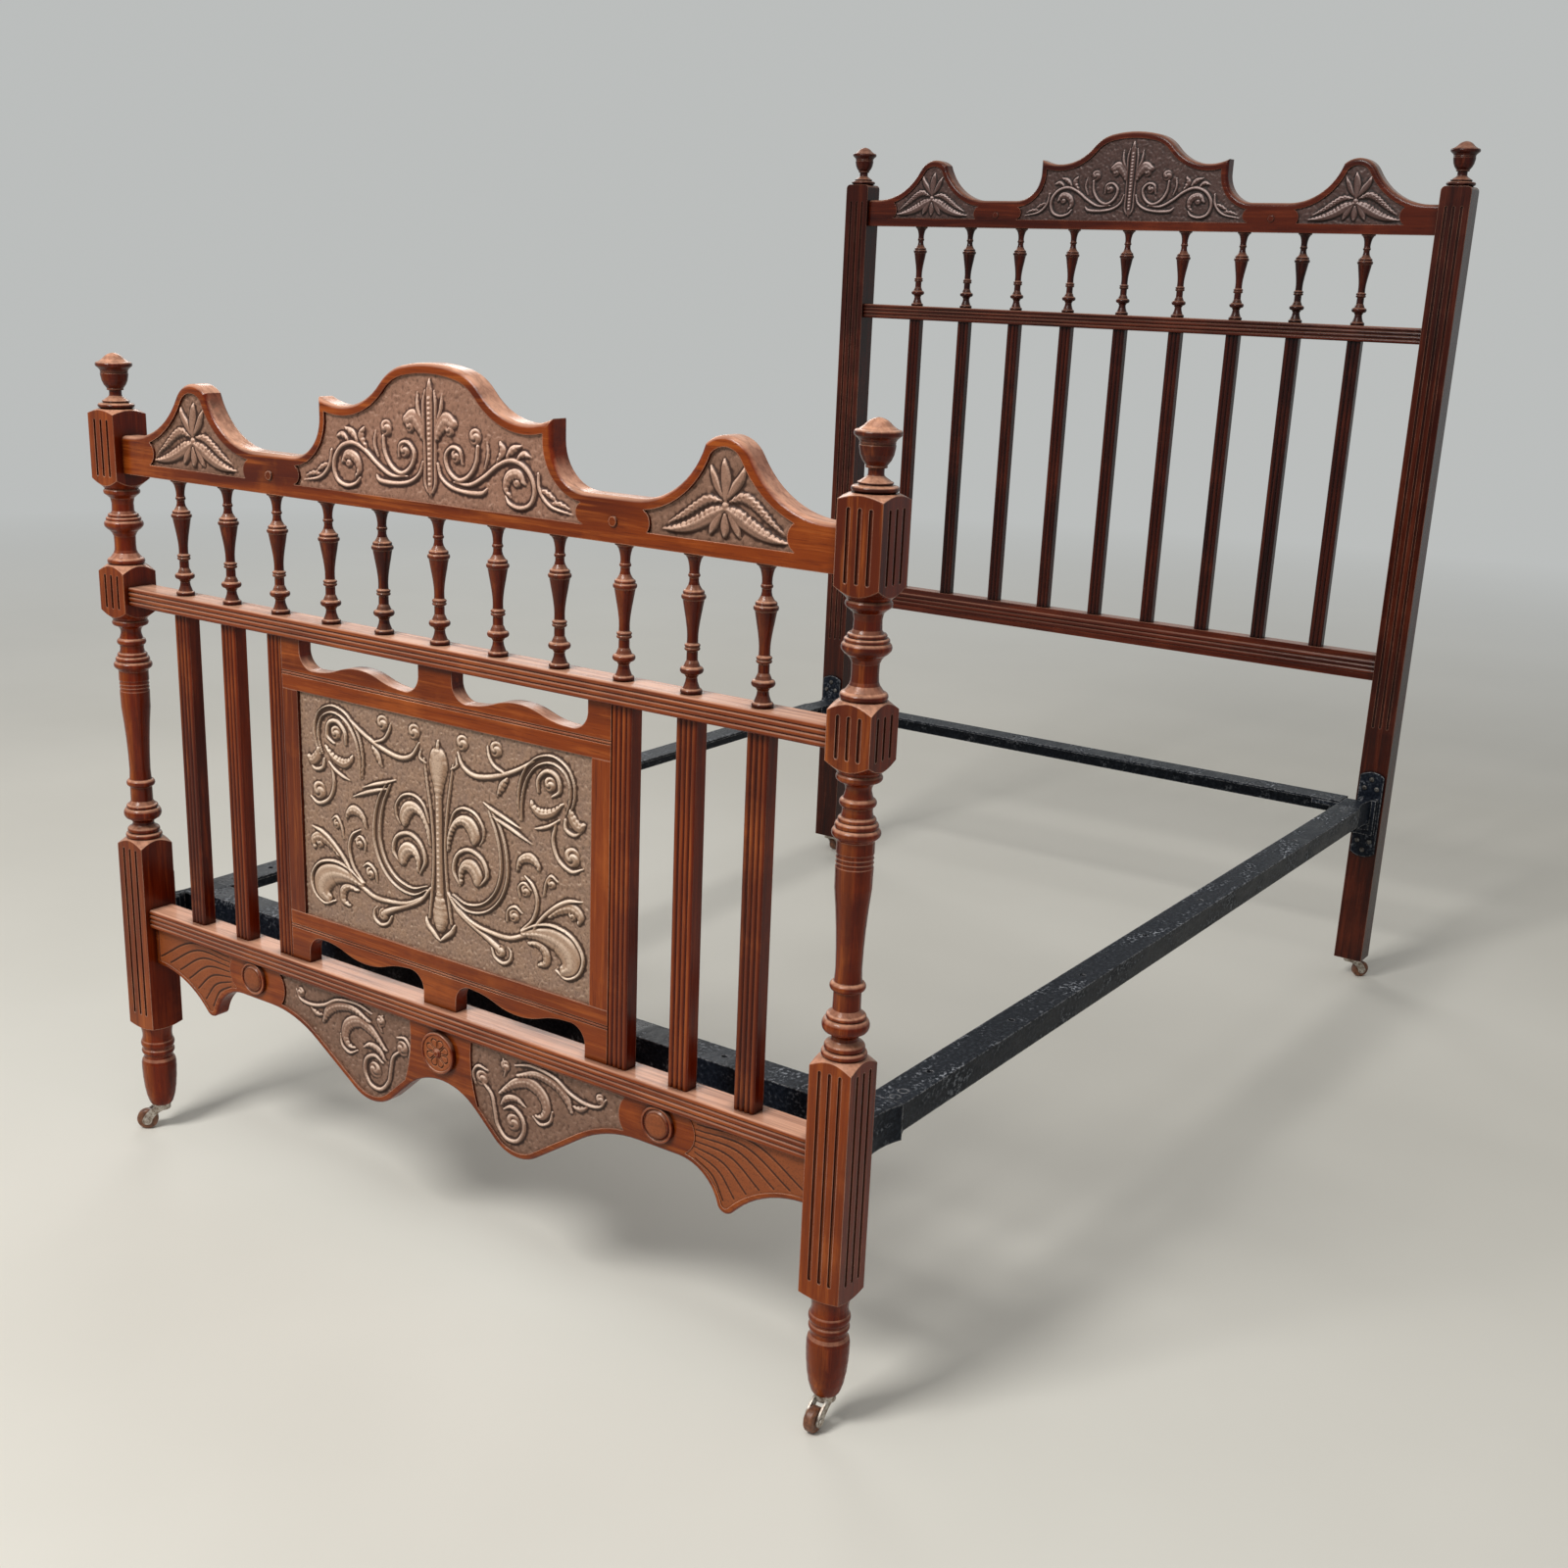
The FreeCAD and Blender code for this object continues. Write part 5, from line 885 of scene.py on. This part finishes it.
APRON_STROKES = [
    ("dome", 4.2, [
        (80, 306, 3), (97, 291, 4), (103, 268, 4.4), (108, 248, 4.6), (124, 232, 4.8),
        (145, 234, 5), (157, 253, 5), (153, 273, 4.8), (135, 283, 4.2), (119, 275, 2),
    ]),
    ("shell", 4.4, [
        (112, 297, 3), (141, 320, 8), (167, 328, 10), (190, 317, 10), (198, 299, 8),
        (191, 285, 5.5), (178, 283, 2),
    ]),
    ("dome", 4.2, [(208, 298, 1.4), (204, 281, 3.2), (188, 273, 3.4), (173, 280, 1.6)]),
    ("shell", 4.4, [(145, 333, 3), (178, 344, 6.4), (206, 342, 8), (230, 330, 8.5), (243, 308, 3)]),
    ("dome", 4.2, [
        (140, 347, 1.8), (172, 355, 3.2), (212, 350, 3.6), (240, 335, 4), (268, 328, 4),
        (292, 331, 3.2), (302, 344, 1.6),
    ]),
    ("dome", 4.0, [(120, 324, 1.8), (124, 338, 3.4), (118, 350, 1.6)]),
    ("shell", 4.2, [(114, 280, 2), (126, 293, 6), (144, 297, 5), (160, 289, 1.4)]),
    ("dome", 4.0, [(66, 298, 1.8), (62, 314, 3), (72, 327, 3.2), (90, 324, 1.6)]),
    ("shell", 3.8, [(272, 325, 2), (258, 317, 5), (244, 318, 1.4)]),
]
APRON_BUDS = [
    (4.4, 136, 260, 13, 2), (4.4, 78, 310, 12.5, 2), (4.3, 122, 341, 9, 2), (4.2, 292, 342, 8, 2),
]

# Grooves of the apron's wings: where each starts beside the roundel and ends at the lower rim, its bow,
# the face it is cut into, its depth and its half widths
WING_STARTS = [(452, 309), (451, 317), (450, 325), (451, 333), (452, 341), (452, 349), (454, 357)]
WING_ENDS = [(498, 264), (515, 272), (533, 285), (553, 297), (575, 306), (599, 312), (622, 317)]
WING_BOW_SHARE = 0.13
WING_FACE = 1.5
WING_CUT = 1.3
WING_WIDTHS = (1.3, 2.0, 1.8)


def carve_panel():
    """The panel's ground, carved on both sides of a middle stem."""
    field = Relief(*PANEL_GRID)
    for _, side in SIDES:
        field.carve(PANEL_STROKES, PANEL_BUDS, side)
    field.carve_middle(PANEL_MIDDLE, PANEL_BEADS)
    field.matted(*PANEL_PUNCHING)
    field.piece("panel_carving", FOOT_AXIS - PANEL_GROUND * MM, "panel", "carved_wood")


def carve_crest(name, axis, lift, spread, material, flank_material, slot):
    """The crest's three carved grounds; the head crest repeats the foot's with its own spread."""
    front = axis - CREST_GROUND * MM
    centre = Relief(*CREST_GRID)
    for _, side in SIDES:
        centre.carve(CREST_STROKES, CREST_BUDS, side)
    centre.carve_middle(CREST_MIDDLE, CREST_BEADS)
    centre.matted(*PUNCHING)
    centre.z = centre.z + lift
    outline = grown(CENTRE_FIELD, RIM_LAP) + (0.0, lift)
    centre.piece(f"{name}_carving_middle", front, material, slot, outline)
    for label, side in SIDES:
        flank = Relief(*FLANK_GRID)
        flank.carve(CREST_SIDE_STROKES, CREST_SIDE_BUDS)
        flank.matted(*PUNCHING)
        if side < 0:
            flank.mirrored()
        flank.x = flank.x * spread
        flank.z = flank.z + lift
        outline = grown(SIDE_FIELD, RIM_LAP) * (side * spread, 1.0) + (0.0, lift)
        flank.piece(f"{name}_carving_{label}", front, flank_material, slot, outline)


def carve_apron():
    """The apron's two carved grounds."""
    front = FOOT_AXIS - APRON_GROUND * MM
    for label, side in SIDES:
        field = Relief(*APRON_GRID)
        field.carve(APRON_STROKES, APRON_BUDS)
        field.matted(*PUNCHING)
        if side < 0:
            field.mirrored()
        outline = grown(APRON_FIELD, RIM_LAP) * (side, 1.0)
        field.piece(f"apron_carving_{label}", front, "apron_carving", "foot_wood", outline)


def carve_wings():
    """The fans cut into the apron's wings: bowed grooves from the roundel to the lower rim."""
    front = FOOT_AXIS - WING_GROUND * MM
    for label, side in SIDES:
        field = Relief(*WING_GRID, WING_FACE)
        for (ax, az), (bx, bz) in zip(WING_STARTS, WING_ENDS):
            middle_x = (ax + bx) / 2 + (az - bz) * WING_BOW_SHARE
            middle_z = (az + bz) / 2 + (bx - ax) * WING_BOW_SHARE
            places = ((ax, az), (middle_x, middle_z), (bx, bz))
            field.cut(WING_FACE, WING_CUT, [(x, z, w) for (x, z), w in zip(places, WING_WIDTHS)])
        if side < 0:
            field.mirrored()
        outline = grown(WING_FIELD, WING_LAP) * (side, 1.0)
        field.piece(f"apron_fan_{label}", front, "cut_wood", "foot_wood", outline)


def carve_roundels():
    """The rough punched crowns of the apron's two roundels."""
    front = FOOT_AXIS - ROUNDEL_CROWN * MM
    for label, side in SIDES:
        field = Relief(*ROUNDEL_GRID)
        x, z = np.meshgrid(field.x - ROUNDEL_X, field.z - ROUNDEL_Z)
        field.height = np.interp(np.hypot(x, z), ROUNDEL_RADII, ROUNDEL_HEIGHTS)
        field.height += ROUNDEL_ROUGH * blurred(RNG.random(field.height.shape), 1)
        if side < 0:
            field.mirrored()
        outline = ring_outline(ROUNDEL_X * side, ROUNDEL_Z, ROUNDEL_RADIUS)
        field.piece(f"roundel_{label}", front, "cut_wood", "foot_wood", outline)


def carve_rosette():
    """The petals cut into the apron's middle rosette, round a small hub."""
    field = Relief(*ROSETTE_GRID, ROSETTE_FACE)
    for petal in range(PETALS):
        middle = 2 * math.pi / PETALS * (petal + 0.5)
        places = [
            (r * math.cos(middle + a), ROSETTE_Z + r * math.sin(middle + a), PETAL_LINE)
            for r, a in PETAL_EDGE
        ]
        field.cut(ROSETTE_FACE, ROSETTE_CUT, places)
    field.bud(HUB_RISE, 0.0, ROSETTE_Z, HUB_RADIUS)
    outline = ring_outline(0.0, ROSETTE_Z, ROSETTE_RADIUS)
    field.piece("rosette_petals", FOOT_AXIS - BOSS_GROUND * MM, "cut_wood", "foot_wood", outline)


def camera():
    """The camera, placed and turned by its named values."""
    data = bpy.data.cameras.new("camera")
    data.sensor_width = SENSOR
    data.lens = FOCAL / IMAGE * data.sensor_width
    data.shift_x = (IMAGE / 2 - PRINCIPAL[0]) / IMAGE
    data.shift_y = (PRINCIPAL[1] - IMAGE / 2) / IMAGE
    data.clip_end = CLIP_END
    right = Vector(CAMERA_RIGHT)
    up = Vector(CAMERA_UP)
    item = bpy.data.objects.new("camera", data)
    turn = Matrix((right, up, right.cross(up))).transposed().to_4x4()
    item.matrix_world = Matrix.Translation(CAMERA_PLACE) @ turn
    bpy.context.scene.collection.objects.link(item)
    bpy.context.scene.camera = item


def softbox(name, place, aim, size, power, tint):
    """A rectangular lamp that looks at a spot."""
    data = bpy.data.lights.new(name, "AREA")
    data.shape = "RECTANGLE"
    data.size = size[0]
    data.size_y = size[1]
    data.energy = power
    data.color = tint
    item = bpy.data.objects.new(name, data)
    item.location = place
    item.rotation_euler = (Vector(aim) - Vector(place)).to_track_quat("-Z", "Y").to_euler()
    bpy.context.scene.collection.objects.link(item)


def floor():
    """A pale painted floor with a faint unevenness, fading into the surroundings far off."""
    mesh = bpy.data.meshes.new("floor")
    corners = ((-1, -1), (1, -1), (1, 1), (-1, 1))
    mesh.from_pydata([(x * FLOOR_HALF, y * FLOOR_HALF, 0) for x, y in corners], [], [(0, 1, 2, 3)])
    s = Shader("floor")
    clouds = s.noise((0.9, 0.9, 0.9), 4.0, 0.5)
    tone = s.mix(s.span(clouds, 0.3, 0.7), *FLOOR_TONES)
    s.feed(s.surface, "Base Color", tone)
    s.surface.inputs["Roughness"].default_value = 0.75
    s.surface.inputs["Specular IOR Level"].default_value = 0.2
    distance = s.add("ShaderNodeVectorMath", operation="LENGTH")
    s.feed(distance, 0, s.place)
    far = s.add("ShaderNodeEmission")
    s.feed(far, "Color", WALL_TONE)
    blend = s.add("ShaderNodeMixShader")
    s.feed(blend, 0, s.span(distance.outputs["Value"], FADE_START, FADE_END))
    s.feed(blend, 1, s.surface.outputs["BSDF"])
    s.feed(blend, 2, far.outputs["Emission"])
    s.feed(s.output, "Surface", blend.outputs["Shader"])
    mesh.materials.append(s.material)
    item = bpy.data.objects.new("floor", mesh)
    bpy.context.scene.collection.objects.link(item)


def surroundings():
    """Plain pale walls seen by the camera and by reflections, and a softer fill for the rest."""
    world = bpy.data.worlds.new("studio")
    world.use_nodes = True
    tree = world.node_tree
    fill = tree.nodes["Background"]
    fill.inputs["Color"].default_value = FILL_TONE
    fill.inputs["Strength"].default_value = FILL_STRENGTH
    seen = tree.nodes.new("ShaderNodeBackground")
    seen.inputs["Color"].default_value = WALL_TONE
    path = tree.nodes.new("ShaderNodeLightPath")
    share = path.outputs["Is Camera Ray"]
    for kind in ("Is Glossy Ray", "Is Transmission Ray"):
        either = tree.nodes.new("ShaderNodeMath")
        either.operation = "MAXIMUM"
        tree.links.new(share, either.inputs[0])
        tree.links.new(path.outputs[kind], either.inputs[1])
        share = either.outputs["Value"]
    blend = tree.nodes.new("ShaderNodeMixShader")
    tree.links.new(share, blend.inputs[0])
    tree.links.new(fill.outputs["Background"], blend.inputs[1])
    tree.links.new(seen.outputs["Background"], blend.inputs[2])
    tree.links.new(blend.outputs["Shader"], tree.nodes["World Output"].inputs["Surface"])
    bpy.context.scene.world = world


carve_panel()
carve_crest("foot_crest", FOOT_AXIS, 0.0, 1.0, "foot_carving", "flank_carving", "foot_wood")
carve_crest("head_crest", HEAD_AXIS, HEAD_LIFT, HEAD_SPREAD, "head_carving", "head_carving", "head_wood")
carve_apron()
carve_wings()
carve_roundels()
carve_rosette()
camera()
floor()
surroundings()
for lamp in LAMPS:
    softbox(*lamp)
bpy.context.scene.view_settings.view_transform = "Standard"
